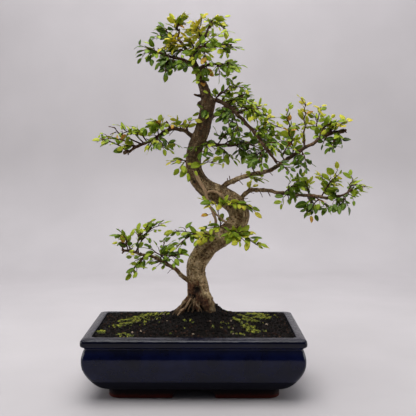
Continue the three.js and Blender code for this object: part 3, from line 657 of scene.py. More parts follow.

# %% [markdown]
# ## The pot
#
# The real pot is pressed stoneware: a thick rolled lip, a wall that bulges under it, and a low
# foot with an arch on each side. It is dipped in cobalt glaze, and the feet and the underside stay
# bare brown clay. Below the bulge the glaze is painted nearly black as painted shade, for the floor
# in the pot's own shadow that it mirrors. Over the rim it is painted nearly black too, as painted
# shade for the dark room that the lip mirrors.
#
# The wall is a loft of rounded rectangles along the profile, with many more points than the CAD
# solid has, so that the glaze reflects in smooth curves.

# %% Materials of the pot


def glaze_material():
    # Cobalt glaze over stoneware: nearly black blue in the shade, with a hard wet gloss.
    material, tree = new_material(
        "cobalt glazed stoneware", Roughness=0.12, IOR=1.5, Specular_IOR_Level=0.27
    )
    spot = add_spot(tree)
    height = add_height(tree, spot)
    # Pooling and thinning of the glaze, a few centimetres across.
    pool = add_noise(tree, spot, 22, 4)
    body = add_ramp(tree, pool, [(0.3, "#05071a"), (0.55, "#080d2a"), (0.75, "#0e1433")])
    # Painted shade over the rim: from 65.5 mm up the colour turns toward near black, as the lip
    # mirrors a dark room.
    colour = add_mix(tree, add_range(tree, height, 0.0655, 0.068, high=0.6), body, "#04040a")
    # The faint waviness of a fired glaze, and the fine pits that break up its highlights.
    waves = add_bump(tree, pool, 0.12, 0.0008)
    pitted = add_range(tree, height, 0.0712, 0.0728, 0.2, 3.0)
    pits = add_bump(tree, add_noise(tree, spot, 4, 5), pitted, 0.0004, below=waves)
    return painted(material, colour, pits)


def clay_and_shade_material():
    # Painted shade, nearly black, below the glaze line: the lower wall mirrors the floor in the
    # pot's own shadow. Only the feet show bare clay, rusty at the bottom.
    material, tree = new_material("bare clay and painted shade", Roughness=0.8, Specular_IOR_Level=0.15)
    spot = add_spot(tree)
    grit = add_noise(tree, spot, 2, 4)
    wavy = add_math(tree, "MULTIPLY_ADD", grit, 0.006, add_height(tree, spot))
    stops = [
        (0.0, "#521a10"), (0.1, "#421710"), (0.25, "#190c0c"), (0.5, "#080711"), (1.0, "#060716"),
    ]
    colour = add_ramp(tree, add_range(tree, wavy, 0.004, 0.024), stops)
    return painted(material, colour, add_bump(tree, grit, 0.4, 0.0004))


# %% The pot
# Faces below this height take the clay material: painted shade, with bare clay at the feet.
SHADE_AND_CLAY_LINE = 24
POT_SIDE_POINTS = (26, 16)  # along the long and the short side
POT_CORNER_POINTS = 9
WALL_STEPS = 150
FOOT_STEPS = 16
ARCH_CORNER = 10
ARCH_STEPS = 8
DRAIN_SIDES = 40
PAST = 20  # how far a cutter reaches past the pot


def pot_ring(inset, z, scale=1.0):
    """A rounded rectangle at this inset from the rim's outermost line."""
    radius = CORNER_RADIUS + CORNER_SOFTENING * inset
    half_x = POT_WIDTH / 2 - inset - radius
    half_y = POT_DEPTH / 2 - inset - radius
    centres = [(half_x, half_y), (-half_x, half_y), (-half_x, -half_y), (half_x, -half_y)]
    ring = []
    for quarter, (x, y) in enumerate(centres):
        for step in range(POT_CORNER_POINTS):
            angle = (quarter + step / (POT_CORNER_POINTS - 1)) * math.pi / 2
            ring.append((x + radius * math.cos(angle), y + radius * math.sin(angle)))
        start, (end_x, end_y) = ring[-1], centres[(quarter + 1) % 4]
        turn = (quarter + 1) * math.pi / 2
        end = (end_x + radius * math.cos(turn), end_y + radius * math.sin(turn))
        between = POT_SIDE_POINTS[quarter % 2]
        for step in range(1, between):
            share = step / between
            ring.append(tuple(a + (b - a) * share for a, b in zip(start, end)))
    return [(scale * x, scale * y, z) for x, y in ring]


def spline(points, share):
    """A smooth curve through the points; share runs from 0 to 1 over the whole list."""
    place = clamp(share) * (len(points) - 1)
    index = min(int(place), len(points) - 2)
    t = place - index
    b, c = np.array(points[index], float), np.array(points[index + 1], float)
    a = np.array(points[index - 1], float) if index else 2 * b - c
    d = np.array(points[index + 2], float) if index + 2 < len(points) else 2 * c - b
    curve = 2 * a - 5 * b + 4 * c - d
    return 0.5 * (2 * b + (c - a) * t + curve * t**2 + (3 * b - a - 3 * c + d) * t**3)


def pot_profile(points, steps):
    """The profile as a smooth curve that stays inside the pot's own box."""
    fine = np.array([spline(points, i / steps) for i in range(steps + 1)])
    return np.stack([np.maximum(fine[:, 0], 0), np.clip(fine[:, 1], 0, POT_HEIGHT)], 1)


def lofted(rows, **values):
    """A shape from rings of equally many points."""
    points = np.array(rows)
    shape = Shape()
    shape.add(points.reshape(-1, 3), loft_faces(*points.shape[:2]), **values)
    return shape


def pot_loft(profile):
    return lofted([pot_ring(inset, z) for inset, z in profile])


def loose(name, shape):
    return new_object(name, mesh_of(name, shape))


def tunnel_shape(width, length, turned):
    """The arch between two feet, as a long block with rounded upper corners."""
    outline = [(width / 2, -2)]
    for step in range(ARCH_STEPS + 1):
        angle = step / ARCH_STEPS * math.pi / 2
        x = width / 2 - ARCH_CORNER + ARCH_CORNER * math.cos(angle)
        outline.append((x, UNDERSIDE * math.sin(angle)))
    outline += [(-x, z) for x, z in outline[::-1]]
    ends = (length / 2, -length / 2)
    return lofted([[(-end, x, z) if turned else (x, end, z) for x, z in outline] for end in ends])


def drain_shape(side):
    ring = []
    for i in range(DRAIN_SIDES):
        angle = 2 * math.pi * i / DRAIN_SIDES
        x = side * DRAIN_OFFSET + DRAIN_RADIUS * math.cos(angle)
        ring.append((x, DRAIN_RADIUS * math.sin(angle)))
    return lofted([[(x, y, z) for x, y in ring] for z in (-3, 2 * FLOOR_TOP)])


def boolean(piece, cutter, operation):
    change = piece.modifiers.new(operation, "BOOLEAN")
    change.operation = operation
    change.solver = "EXACT"
    change.object = cutter


def make_pot():
    body = loose("body", pot_loft(pot_profile(POT_WALL, WALL_STEPS)))
    feet = loose("feet", pot_loft(pot_profile(FOOT_WALL, FOOT_STEPS)))
    cutters = [
        loose("inside", pot_loft([(FOOT_INSIDE, -2), (FOOT_INSIDE, UNDERSIDE)])),
        loose("front_tunnel", tunnel_shape(FRONT_ARCH, POT_DEPTH + PAST, False)),
        loose("side_tunnel", tunnel_shape(SIDE_ARCH, POT_WIDTH + PAST, True)),
    ]
    for cutter in cutters:
        boolean(feet, cutter, "DIFFERENCE")
    boolean(body, feet, "UNION")
    cutters += [loose("drain", drain_shape(side)) for side in (-1, 1)]
    for cutter in cutters[-2:]:
        boolean(body, cutter, "DIFFERENCE")
    mesh = with_modifiers(body)
    for helper in cutters + [feet]:
        bpy.data.objects.remove(helper)
    add_piece("glazed_pot", mesh, [glaze_material(), clay_and_shade_material()], ["pot"])
    # Faces under the line get the clay material: bare clay at the feet, painted shade above them.
    below = [int(face.center.z < SHADE_AND_CLAY_LINE * MM) for face in mesh.polygons]
    mesh.polygons.foreach_set("material_index", below)
    mesh.set_sharp_from_angle(angle=math.radians(40))
    print("pot:", len(mesh.polygons), "faces")


make_pot()

# %% [markdown]
# ## The soil
#
# Bonsai soil is a coarse mix: baked clay granules and grit of two to four millimetres, which
# drain fast, darkened by watering and peat. It is mounded up to the trunk so that the surface
# roots show. Here a fine uneven ground fills the pot, and thousands of small angular crumbs are
# half sunk into it, each one a jittered twenty-sided lump.

# %% Materials of the soil


def soil_material():
    # Damp dark mix: almost black brown, with a matt surface that shows no highlight.
    material, tree = new_material("damp granular soil", Roughness=0.95, Specular_IOR_Level=0.2)
    fine = add_noise(tree, add_spot(tree), 1.2, 6)
    spread = add_math(tree, "MULTIPLY_ADD", fine, 0.35, -0.17)
    tone = add_math(tree, "ADD", add_attribute(tree, "tone"), spread)
    stops = [
        (0.0, "#030201"), (0.25, "#0c0705"), (0.5, "#170d09"), (0.8, "#3c271c"), (1.0, "#a08f7a"),
    ]
    return painted(material, add_ramp(tree, tone, stops), add_bump(tree, fine, 0.6, 0.0006))


def moss_material():
    # Sheet moss: each tuft is a soft matt green that turns yellow at its tips.
    material, tree = new_material("sheet moss", Roughness=0.9, Sheen_Weight=0.3)
    stops = [(0.0, "#0e0f06"), (0.3, "#3a440c"), (0.6, "#93a01c"), (1.0, "#f6f254")]
    return painted(material, add_ramp(tree, add_attribute(tree, "tone"), stops))


# %% The soil
SOIL_INSET = 9.6
GROUND_STEPS = 90
CRUMBS = 5400
PEBBLES = 16
COARSE_SHARE = 0.18  # of the crumbs
COARSE_SIZE, FINE_SIZE = 1.9, 1.15
TRUNK_CLEARING = 13  # crumbs keep this far off the trunk's middle
MOSS_CLEARING = 20
CRUMB_MARGIN = 3
SINK = 0.25  # how far a crumb's middle stands above the ground, as a share of its size
WIDE_LUMPS, SMALL_LUMPS = 14, 4  # how wide the surface's lumps are
MOSS_DENSITY = 0.7  # cushions for each square millimetre of a patch's half widths
STEM_DENSITY = 8
LEAN = 0.35
BACK_RISE = 2.6  # the soil stands higher along the pot's back
# The soil against the pot's wall, as inset and height, from the floor up.
SOIL_WALL = [(38, 17.8), (22.4, 23.2), (14.9, 31.4), (11, 40), (9.8, 55), (11.6, 68)]
# Moss patches: middle, half widths, and how thickly they grow.
MOSS_PATCHES = [
    (-88, 27, 9, 6, 1.0), (-76, 38, 9, 8, 1.0), (-64, 50, 9, 8, 1.0), (-52, 58, 8, 6, 0.8),
    (-93, -4, 8, 6, 1.0), (-82, 6, 8, 7, 1.0), (-74, 13, 6, 6, 0.9), (-110, -33, 5, 6, 1.0),
    (-84, -46, 7, 5, 0.9), (-72, -52, 7, 4, 0.9), (-60, 10, 22, 22, 0.2), (-31, -3, 2, 3, 1.0),
    (-40, 55, 18, 10, 0.35), (76, 60, 10, 7, 1.0), (88, 48, 10, 9, 1.0), (80, 36, 10, 8, 1.0),
    (60, 14, 8, 7, 0.9), (68, 2, 8, 8, 1.0), (50, -17, 6, 5, 1.0), (62, -28, 9, 8, 1.0),
    (70, -38, 9, 6, 1.0), (51, -51, 6, 3, 0.9), (42, 42, 22, 24, 0.3), (20, -34, 60, 18, 0.04),
]
# A bank of soil and moss against the right of the trunk: middle and half widths.
BANK = (25, 3, 6.5, 6.5)
BANK_HEIGHT = 4.5
# The dip under the root crown, a millimetre lower and painted darker as painted shade: middle
# and half widths.
HOLLOW = (3, -19, 22, 10)


def soil_height(x, y):
    across = ((x - MOUND_X) / MOUND_SPREAD_X) ** 2
    deep = (y / MOUND_SPREAD_Y) ** 2
    return SOIL_EDGE + MOUND_RISE * math.exp(-across - deep)


def uneven(x, y):
    """Lumps in the surface, some millimetres wide and about one high."""
    wide = noise.noise(Vector((x / WIDE_LUMPS, y / WIDE_LUMPS, 3.0)))
    small = noise.noise(Vector((x / SMALL_LUMPS, y / SMALL_LUMPS, 7.0)))
    return 1.1 * wide + 0.7 * small


def edge_fade(x, y):
    """0 at the pot's wall and 1 from 6 mm inside it."""
    inside = min(POT_WIDTH / 2 - SOIL_INSET - abs(x), POT_DEPTH / 2 - SOIL_INSET - abs(y))
    return clamp(inside / 6)


def hump(x, y, middle_x, middle_y, half_x, half_y):
    """1 in the middle of a round rise, 0 well outside it."""
    return math.exp(-(((x - middle_x) / half_x) ** 2) - ((y - middle_y) / half_y) ** 2)


def in_hollow(x, y):
    return hump(x, y, *HOLLOW)


def soil_surface(x, y):
    back = BACK_RISE * clamp((y - 40) / 28)
    bank = BANK_HEIGHT * hump(x, y, *BANK)
    level = soil_height(x, y) + back + bank - in_hollow(x, y)
    return level + uneven(x, y) * (0.4 + 0.6 * edge_fade(x, y))


def ground_shape():
    rows = [pot_ring(inset, z) for inset, z in SOIL_WALL]
    for step in range(GROUND_STEPS):
        scale = 1 - step / GROUND_STEPS
        row = [(scale * x, scale * y) for x, y, _ in pot_ring(SOIL_WALL[-1][0], 0)]
        rows.append([(x, y, soil_surface(x, y)) for x, y in row])
    # The ground is painted darker in the dip under the root crown: painted shade.
    return lofted(rows, tone=[0.25 * (1 - in_hollow(x, y)) for row in rows for x, y, _ in row])


def lump(draw):
    """A jittered twenty-sided lump of radius 1, as points and faces."""
    golden = (1 + 5**0.5) / 2
    corners = [
        (-1, golden, 0), (1, golden, 0), (-1, -golden, 0), (1, -golden, 0),
        (0, -1, golden), (0, 1, golden), (0, -1, -golden), (0, 1, -golden),
        (golden, 0, -1), (golden, 0, 1), (-golden, 0, -1), (-golden, 0, 1),
    ]
    faces = [
        (0, 11, 5), (0, 5, 1), (0, 1, 7), (0, 7, 10), (0, 10, 11), (1, 5, 9), (5, 11, 4),
        (11, 10, 2), (10, 7, 6), (7, 1, 8), (3, 9, 4), (3, 4, 2), (3, 2, 6), (3, 6, 8),
        (3, 8, 9), (4, 9, 5), (2, 4, 11), (6, 2, 10), (8, 6, 7), (9, 8, 1),
    ]
    points = np.array(corners) / math.hypot(1, golden)
    return points * draw.uniform(0.75, 1.25, (12, 1)), faces


def turned(points, draw):
    """The points, turned at random about their middle."""
    axis = Vector(draw.normal(size=3)).normalized()
    return points @ np.array(Matrix.Rotation(draw.uniform(0, 2 * math.pi), 3, axis))


def in_soil(draw):
    """A random place on the soil, clear of the trunk."""
    while True:
        x = draw.uniform(-1, 1) * (POT_WIDTH / 2 - SOIL_INSET - CRUMB_MARGIN)
        y = draw.uniform(-1, 1) * (POT_DEPTH / 2 - SOIL_INSET - CRUMB_MARGIN)
        if math.hypot(x - 4, y) > TRUNK_CLEARING:
            return x, y


def make_soil():
    draw = np.random.default_rng(SEED)
    shape = ground_shape()
    for number in range(CRUMBS):
        x, y = in_soil(draw)
        points, faces = lump(draw)
        is_pebble = number < PEBBLES
        draw_size = draw.uniform(0.6, 1.0)
        is_coarse = is_pebble or draw.random() < COARSE_SHARE
        size = draw_size * (COARSE_SIZE if is_coarse else FINE_SIZE)
        points = turned(points * size * draw.uniform(0.7, 1.2, 3), draw)
        tone = draw.uniform(0.92, 1.05) if is_pebble else 0.8 * draw.random() ** 2.2
        # Crumbs in the dip under the root crown are painted darker: painted shade.
        tone *= 1 - 0.8 * in_hollow(x, y)
        height = soil_surface(x, y) + SINK * size
        shape.add(points + (x, y, height), faces, tone=tone)
    mesh = mesh_of("soil", shape)
    add_piece("granular_soil", mesh, soil_material(), ["soil"], smooth=False)
    print("soil:", len(mesh.polygons), "faces")


def make_moss():
    draw = np.random.default_rng(SEED + 1)
    shape = Shape()
    for middle_x, middle_y, half_x, half_y, thick in MOSS_PATCHES:
        for _ in range(int(MOSS_DENSITY * thick * half_x * half_y)):
            x = middle_x + half_x * draw.normal() * 0.6
            y = middle_y + half_y * draw.normal() * 0.6
            clear = math.hypot(x - 8, y) >= MOSS_CLEARING and in_hollow(x, y) <= 0.3
            if clear and edge_fade(x, y) >= 0.5:
                add_cushion(shape, x, y, draw.triangular(0.6, 0.9, 2.4), draw)
    mesh = mesh_of("moss", shape)
    add_piece("moss", mesh, moss_material(), smooth=False)
    print("moss:", len(mesh.polygons), "faces")


def add_cushion(shape, x, y, radius, draw):
    """A cushion of moss: a low dome of leaning three-sided stems, palest in the middle."""
    own_tone = draw.uniform(-0.1, 0.5)
    for _ in range(int(STEM_DENSITY * radius * radius)):
        away = radius * math.sqrt(draw.random())
        turn = draw.uniform(0, 2 * math.pi)
        dome = 1 - (away / radius) ** 2
        stem_x, stem_y = x + away * math.cos(turn), y + away * math.sin(turn)
        base = np.array([stem_x, stem_y, soil_surface(stem_x, stem_y) + 0.6 * radius * dome - 0.4])
        width = draw.uniform(0.3, 0.55)
        angles = draw.uniform(0, 2 * math.pi) + np.arange(3) * 2 * math.pi / 3
        foot = [(width * math.cos(a), width * math.sin(a), 0) for a in angles]
        lean = LEAN * away / radius
        tip = (
            lean * math.cos(turn) + 0.3 * draw.normal(),
            lean * math.sin(turn) + 0.3 * draw.normal(),
            draw.uniform(0.8, 1.7),
        )
        tone = own_tone + draw.uniform(-0.15, 0.5) + 0.4 * dome
        faces = [(0, 1, 3), (1, 2, 3), (2, 0, 3)]
        shape.add(base + np.array(foot + [tip]), faces, tone=[[tone * 0.35]] * 3 + [[tone + 0.15]])


make_soil()
make_moss()

# %% [markdown]
# ## Drainage screens
#
# Over each hole in the pot's floor lies a square of plastic mesh, cut from a roll, so that water
# runs out and soil doesn't. It is moulded in one piece: flat bars crossing at right angles.

# %% Drainage screens


SCREEN_BARS = 9
BAR_WIDTH = 0.9
BAR_STEP = 0.3  # how far the bars of one direction stand above the others


def screen_material():
    # Black polyethylene mesh, slightly waxy, with fine scuffs from cutting.
    material, tree = new_material("black plastic mesh", Roughness=0.45, IOR=1.5)
    scuffs = add_noise(tree, add_spot(tree), 1, 4)
    return painted(material, add_ramp(tree, scuffs, [(0.4, "#141414"), (0.7, "#2a2a2a")]))


def bar(low, high):
    """A box between two corners."""
    x, y, z = zip(low, high)
    points = [(x[i], y[j], z[k]) for k in (0, 1) for i, j in ((0, 0), (1, 0), (1, 1), (0, 1))]
    return points, loft_faces(2, 4)


def make_screen(side, material):
    node = f"drainage_screen_{side}"
    low, high = (np.array(corner) / MM - (POT_X, 0, 0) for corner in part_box(node))
    shape = Shape()
    for share in np.arange(SCREEN_BARS) / (SCREEN_BARS - 1):
        x, y = (low + (high - low - BAR_WIDTH) * share)[:2]
        shape.add(*bar((x, low[1], low[2]), (x + BAR_WIDTH, high[1], high[2] - BAR_STEP)))
        shape.add(*bar((low[0], y, low[2] + BAR_STEP), (high[0], y + BAR_WIDTH, high[2])))
    name = f"mesh_screen_{side}"
    add_piece(name, mesh_of(name, shape), material, [node], smooth=False)


plastic = screen_material()
make_screen("left", plastic)
make_screen("right", plastic)

# %% [markdown]
# ## Trunk, roots and branches
#
# Elm bark starts smooth and grey with small corky dots, wrinkles across the inside of each bend,
# and flakes off in orange-brown plates at the old foot. The wood is one body: a tube follows each
# route, the tubes are melted into each other on a fine voxel grid, and the surface is then pushed
# in and out by noise that runs along the limb.
#
# To make the pattern follow the wood round its bends, every point also keeps its place on the
# limb as if the limb were straightened: `grain` is (across, across, along). `girth` is the limb's
# radius there, which tells old bark from young.

# %% Material of the bark


def bark_material():
    # Elm bark: matt and grey-tan on the old trunk, browner up in the crown, dark on thin twigs,
    # rusty where plates fell, with small corky dots.
    material, tree = new_material("elm bark", Roughness=0.88, Specular_IOR_Level=0.3)
    grain = add_attribute(tree, "grain", "Vector")
    height = add_height(tree, add_spot(tree))
    # Broad mottling of grey and tan, some millimetres wide and longer along the limb.
    mottle = add_noise(tree, add_stretch(tree, grain, (1, 1, 0.45)), 6, 6, 0.65)
    trunk_stops = [(0.3, "#3d2e1d"), (0.43, "#7a6442"), (0.56, "#a89068"), (0.72, "#c6b592")]
    crown_stops = [(0.3, "#1e140c"), (0.45, "#463520"), (0.58, "#69543a"), (0.72, "#8c795d")]
    twig_stops = [(0.3, "#24150e"), (0.55, "#4f3222"), (0.75, "#80573e")]
    trunk, crown, twig = (
        add_ramp(tree, mottle, stops) for stops in (trunk_stops, crown_stops, twig_stops)
    )
    limb = add_mix(tree, add_range(tree, height, 0.21, 0.3), trunk, crown)
    age = add_range(tree, add_attribute(tree, "girth"), 0.9, 2.6)
    colour = add_mix(tree, age, twig, limb)
    # Fallen plates leave orange-brown wood, mostly low on the trunk.
    low_down = add_range(tree, height, 0.15, 0.1, high=0.09)
    plates = add_math(tree, "ADD", add_noise(tree, grain, 9, 4, 0.7), low_down)
    fallen = add_math(tree, "MULTIPLY_ADD", add_attribute(tree, "torn"), 0.38, plates)
    colour = add_mix(tree, add_range(tree, fallen, 0.6, 0.7, high=0.85), colour, "#5e341b")
    # Corky dots through which the bark breathes, one to two millimetres wide.
    cells = add_node(tree, "ShaderNodeTexVoronoi", {"Vector": grain, "Scale": per_mm(4)})
    dots = add_range(tree, cells.outputs["Distance"], 0.36, 0.22, high=0.85)
    colour = add_mix(tree, dots, colour, "#55331a")
    # Dark wrinkles across the limb.
    wrinkle = add_noise(tree, add_stretch(tree, grain, (0.25, 0.25, 1.6)), 2.4, 4, 0.6)
    darker = add_range(tree, wrinkle, 0.36, 0.52, 0.45, 1.0)
    # Painted shade: the scars' pits and the troughs of the rings round them are darkened,
    # to a tenth at the deepest.
    shade = add_range(tree, add_attribute(tree, "pit_shade"), 0.0, 1.0, 1.0, 0.1)
    # Grit and lichen in the bark: light and dark specks of one to two millimetres.
    specks = add_range(tree, add_noise(tree, grain, 2.2, 3, 0.7), 0.38, 0.62, 0.6, 1.35)
    # Painted shade: the foot of the trunk is darkened, to half at 92 mm, for the shadowed dip
    # under the root crown.
    foot_shade = add_range(tree, height, 0.092, 0.12, 0.5, 1.0)
    # Dark wrinkles, times the painted shade of the pits.
    wrinkles_and_pit_shade = add_math(tree, "MULTIPLY", darker, shade)
    tone = add_math(tree, "MULTIPLY", wrinkles_and_pit_shade, add_math(tree, "MULTIPLY", specks, foot_shade))
    colour = add_mix(tree, 1.0, colour, tone, "MULTIPLY")
    # Aerial roots are young and pale.
    colour = add_mix(tree, add_attribute(tree, "pale"), colour, "#a88a6a")
    relief = add_math(tree, "ADD", mottle, wrinkle)
    return painted(material, colour, add_bump(tree, relief, 0.7, 0.0007))


# %% Trunk, roots and branches
FIRST_NORMAL = Vector((0.31, -0.95, 0.07))
WOOD_VOXEL = 0.85
FLUTED_UP_TO = 135
NEXT_LIMB = 500  # each limb's bark starts this much further along the pattern
RIDGES = (4, 11)  # how wide the bark's ridges are across and along the limb
WRINKLES = (14, 2.2)
KNOT_SPACING = (5, 11)
KNOT_WIDTH = 1.5
KINK = 0.75
# Scars of old cuts: middle of the scar, and its radius. The bark wrinkles in rings round them,
# and pits and rings are painted darker as painted shade.
SCARS = [
    (2.5, -14, 118.6, 4.3), (13, -13, 184, 2.8), (-6, -9, 112, 2.0), (-1, -8, 247, 2.2),
    (-1, -12, 110, 2.6), (6, -14, 95, 4), (-9, -12, 102, 2.4), (-3, -13, 99, 2.2),
    (40, 9, 196, 3.0), (2, 16, 257, 2.8), (8, 13, 130, 3.2), (12, 8, 322, 2.4),
]
# Where the old bark has come off in plates: middle and radius.
TORN = [
    (-5, -10, 119, 8), (0, -12, 112, 7), (9, -12, 104, 5), (0, 12, 112, 8), (-2, -8, 262, 5),
]


def limb_frames(points, steps):
    """Places, radii and cross axes along a limb. The axes turn as little as they can."""
    route = np.array([spline(points, i / steps) for i in range(steps + 1)])
    heading = np.gradient(route[:, :3], axis=0)
    heading /= np.linalg.norm(heading, axis=1)[:, None]
    normal = np.array(FIRST_NORMAL)
    normals = []
    for direction in heading:
        normal = normal - direction * (normal @ direction)
        normal /= np.linalg.norm(normal)
        normals.append(normal)
    normals = np.array(normals)
    return route, heading, normals, np.cross(heading, normals)


def knotted(route, normals, across):
    """A thin limb's route with a swelling and a slight kink at each old leaf joint."""
    walked = walked_along(route[:, :3])
    draw = np.random.default_rng(int(abs(route[-1, 0]) * 10) + SEED)
    joints = np.cumsum(draw.uniform(*KNOT_SPACING, int(walked[-1] / 6) + 3))
    sway = np.interp(walked, joints, draw.normal(size=len(joints)) * KINK, left=0)
    lift = np.interp(walked, joints, draw.normal(size=len(joints)) * KINK, left=0)
    swell = np.exp(-(((walked[:, None] - joints) / KNOT_WIDTH) ** 2))
    swell = swell @ draw.uniform(0.1, 0.45, len(joints))
    ease = np.clip((walked - 8) / 10, 0, 1) * np.clip(1.6 - 0.4 * route[:, 3], 0.3, 1)
    bent = route.copy()
    bent[:, :3] += normals * (sway * ease)[:, None] + across * (lift * ease)[:, None]
    bent[:, 3] *= 1 + swell * ease
    return bent


def tube(points, steps, sides, shaped=None, knots=False):
    """Points and faces of a round limb along its route, with a short blunt tip."""
    route, heading, normals, across = limb_frames(points, steps)
    if knots:
        route = knotted(route, normals, across)
    rows = []
    for (x, y, z, radius), normal, side in zip(route, normals, across):
        angles = 2 * math.pi * np.arange(sides) / sides
        reach = radius * (shaped(angles, z) if shaped else np.ones(sides))
        ring = np.outer(reach * np.cos(angles), normal) + np.outer(reach * np.sin(angles), side)
        rows.append(ring + (x, y, z))
    *end, radius = route[-1]
    tip = end + heading[-1] * radius * 0.5
    rows.append(tip + (rows[-1] - end) * 0.5)
    return np.concatenate(rows), loft_faces(len(rows), sides)


def trunk_section(angles, z):
    """The trunk is fluted at its foot and a little lumpy above."""
    low = TRUNK[1][2]
    above = clamp((z - low) / (FLUTED_UP_TO - low))
    above = above * above * (3 - 2 * above)
    flutes = 0.1 * (1 - above) * np.sin(5 * angles + 0.8)
    lumps = 0.035 * np.sin(2 * angles + z * 0.11) + 0.03 * np.sin(3 * angles - z * 0.17)
    return 1 + flutes + lumps


def wood_routes():
    """Every limb's route, with how many steps and sides its tube takes."""
    routes = [(TRUNK, 200, 40, trunk_section, False)]
    routes += [(points, 24 * len(points), 14, None, True) for points in LIMBS.values()]
    routes += [(points, 40, 14, None, True) for points in ROOTS]
    routes += [(points, 12, 14, None, False) for points in STUBS + BURLS]
    return routes


def straightened(points):
    """For each point: its place on the nearest limb as if that were straight, and the girth."""
    samples = []
    for number, (route_points, *_) in enumerate(wood_routes()):
        route, _, normals, across = limb_frames(route_points, 30 * len(route_points))
        along = walked_along(route[:, :3]) + NEXT_LIMB * number
        samples += list(zip(route, normals, across, along))
    tree = kdtree.KDTree(len(samples))
    for index, (place, *_) in enumerate(samples):
        tree.insert(place[:3], index)
    tree.balance()
    grain, girth = np.zeros((len(points), 3)), np.zeros(len(points))
    for i, point in enumerate(points):
        near = tree.find_n(point, 5)
        index = min(near, key=lambda found: found[2] - samples[found[1]][0][3])[1]
        place, normal, side, along = samples[index]
        away = point - place[:3]
        grain[i] = (away @ normal, away @ side, along)
        girth[i] = place[3]
    return grain, girth


def on_limb(grain, wide, long):
    return Vector((grain[0] / wide, grain[1] / wide, grain[2] / long))


def bark_relief(grain, girth):
    """How far the bark stands out or in at a point, in millimetres."""
    ridges = noise.fractal(on_limb(grain, *RIDGES), 0.9, 2.0, 3)
    wrinkles = noise.noise(on_limb(grain, *WRINKLES))
    return min(girth / 10, 1) * (0.55 * ridges + 0.35 * wrinkles)


def scar_relief(places):
    """A pit at each scar with rings of bark round it, and the painted shade each point gets."""
    relief, pit_shade = np.zeros(len(places)), np.zeros(len(places))
    for *middle, radius in SCARS:
        # The nearest point of the bark, where the depth is allowed to differ most.
        on_bark = places[np.argmin(np.linalg.norm((places - middle) * (1, 0.15, 1), axis=1))]
        away = np.linalg.norm(places - on_bark, axis=1) / radius
        pit = np.exp(-(away**4))
        rings = np.cos(2 * math.pi * away / 0.8) * np.exp(-((away / 2.6) ** 2)) * (away > 0.6)
        relief += 0.35 * rings - 0.7 * radius * pit
        pit_shade += 1.2 * pit + 0.5 * np.clip(-rings, 0, 1)
    return relief, np.clip(pit_shade, 0, 1)


def torn_bark(places):
    """How far each point lies in a patch of fallen bark, from 0 to 1."""
    found = [np.exp(-(np.linalg.norm(places - middle, axis=1) / r) ** 2) for *middle, r in TORN]
    return np.max(found, axis=0)


def make_wood(material):
    shape = Shape()
    for route in wood_routes():
        shape.add(*tube(*route))
    rough = loose("rough_wood", shape)
    melt = rough.modifiers.new("melt", "REMESH")
    melt.mode = "VOXEL"
    melt.voxel_size = WOOD_VOXEL * MM
    soften = rough.modifiers.new("soften", "SMOOTH")
    soften.factor = 0.5
    soften.iterations = 3
    mesh = with_modifiers(rough)
    places, normals = np.empty((2, len(mesh.vertices) * 3))
    mesh.vertices.foreach_get("co", places)
    mesh.vertex_normals.foreach_get("vector", normals)
    places = places.reshape(-1, 3) / MM - (POT_X, 0, 0)
    grain, girth = straightened(places)
    relief, pit_shade = scar_relief(places)
    relief += [bark_relief(g, r) for g, r in zip(grain, girth)]
    places += normals.reshape(-1, 3) * relief[:, None]
    mesh.vertices.foreach_set("co", ((places + (POT_X, 0, 0)) * MM).ravel())
    # The pits' values only darken the bark, as painted shade.
    values = {"grain": grain * MM, "girth": girth, "pit_shade": pit_shade, "torn": torn_bark(places)}
    for key, value in values.items():
        set_values(mesh, key, value)
    mesh.update()
    add_piece("trunk_and_branches", mesh, material, ["tree"])
    print("wood:", len(mesh.polygons), "faces")


bark = bark_material()
make_wood(bark)

# %% [markdown]
# ## Spurs and aerial roots
#
# Where shoots were clipped year after year, short dead spurs stay on the branches, thickest at
# the cut ends. Aerial roots run down the trunk, one of them free across the lower bend, and thin
# roots spread from its foot. All are too thin for the voxel grid, so they are thin knotty tubes
# that start inside the wood.

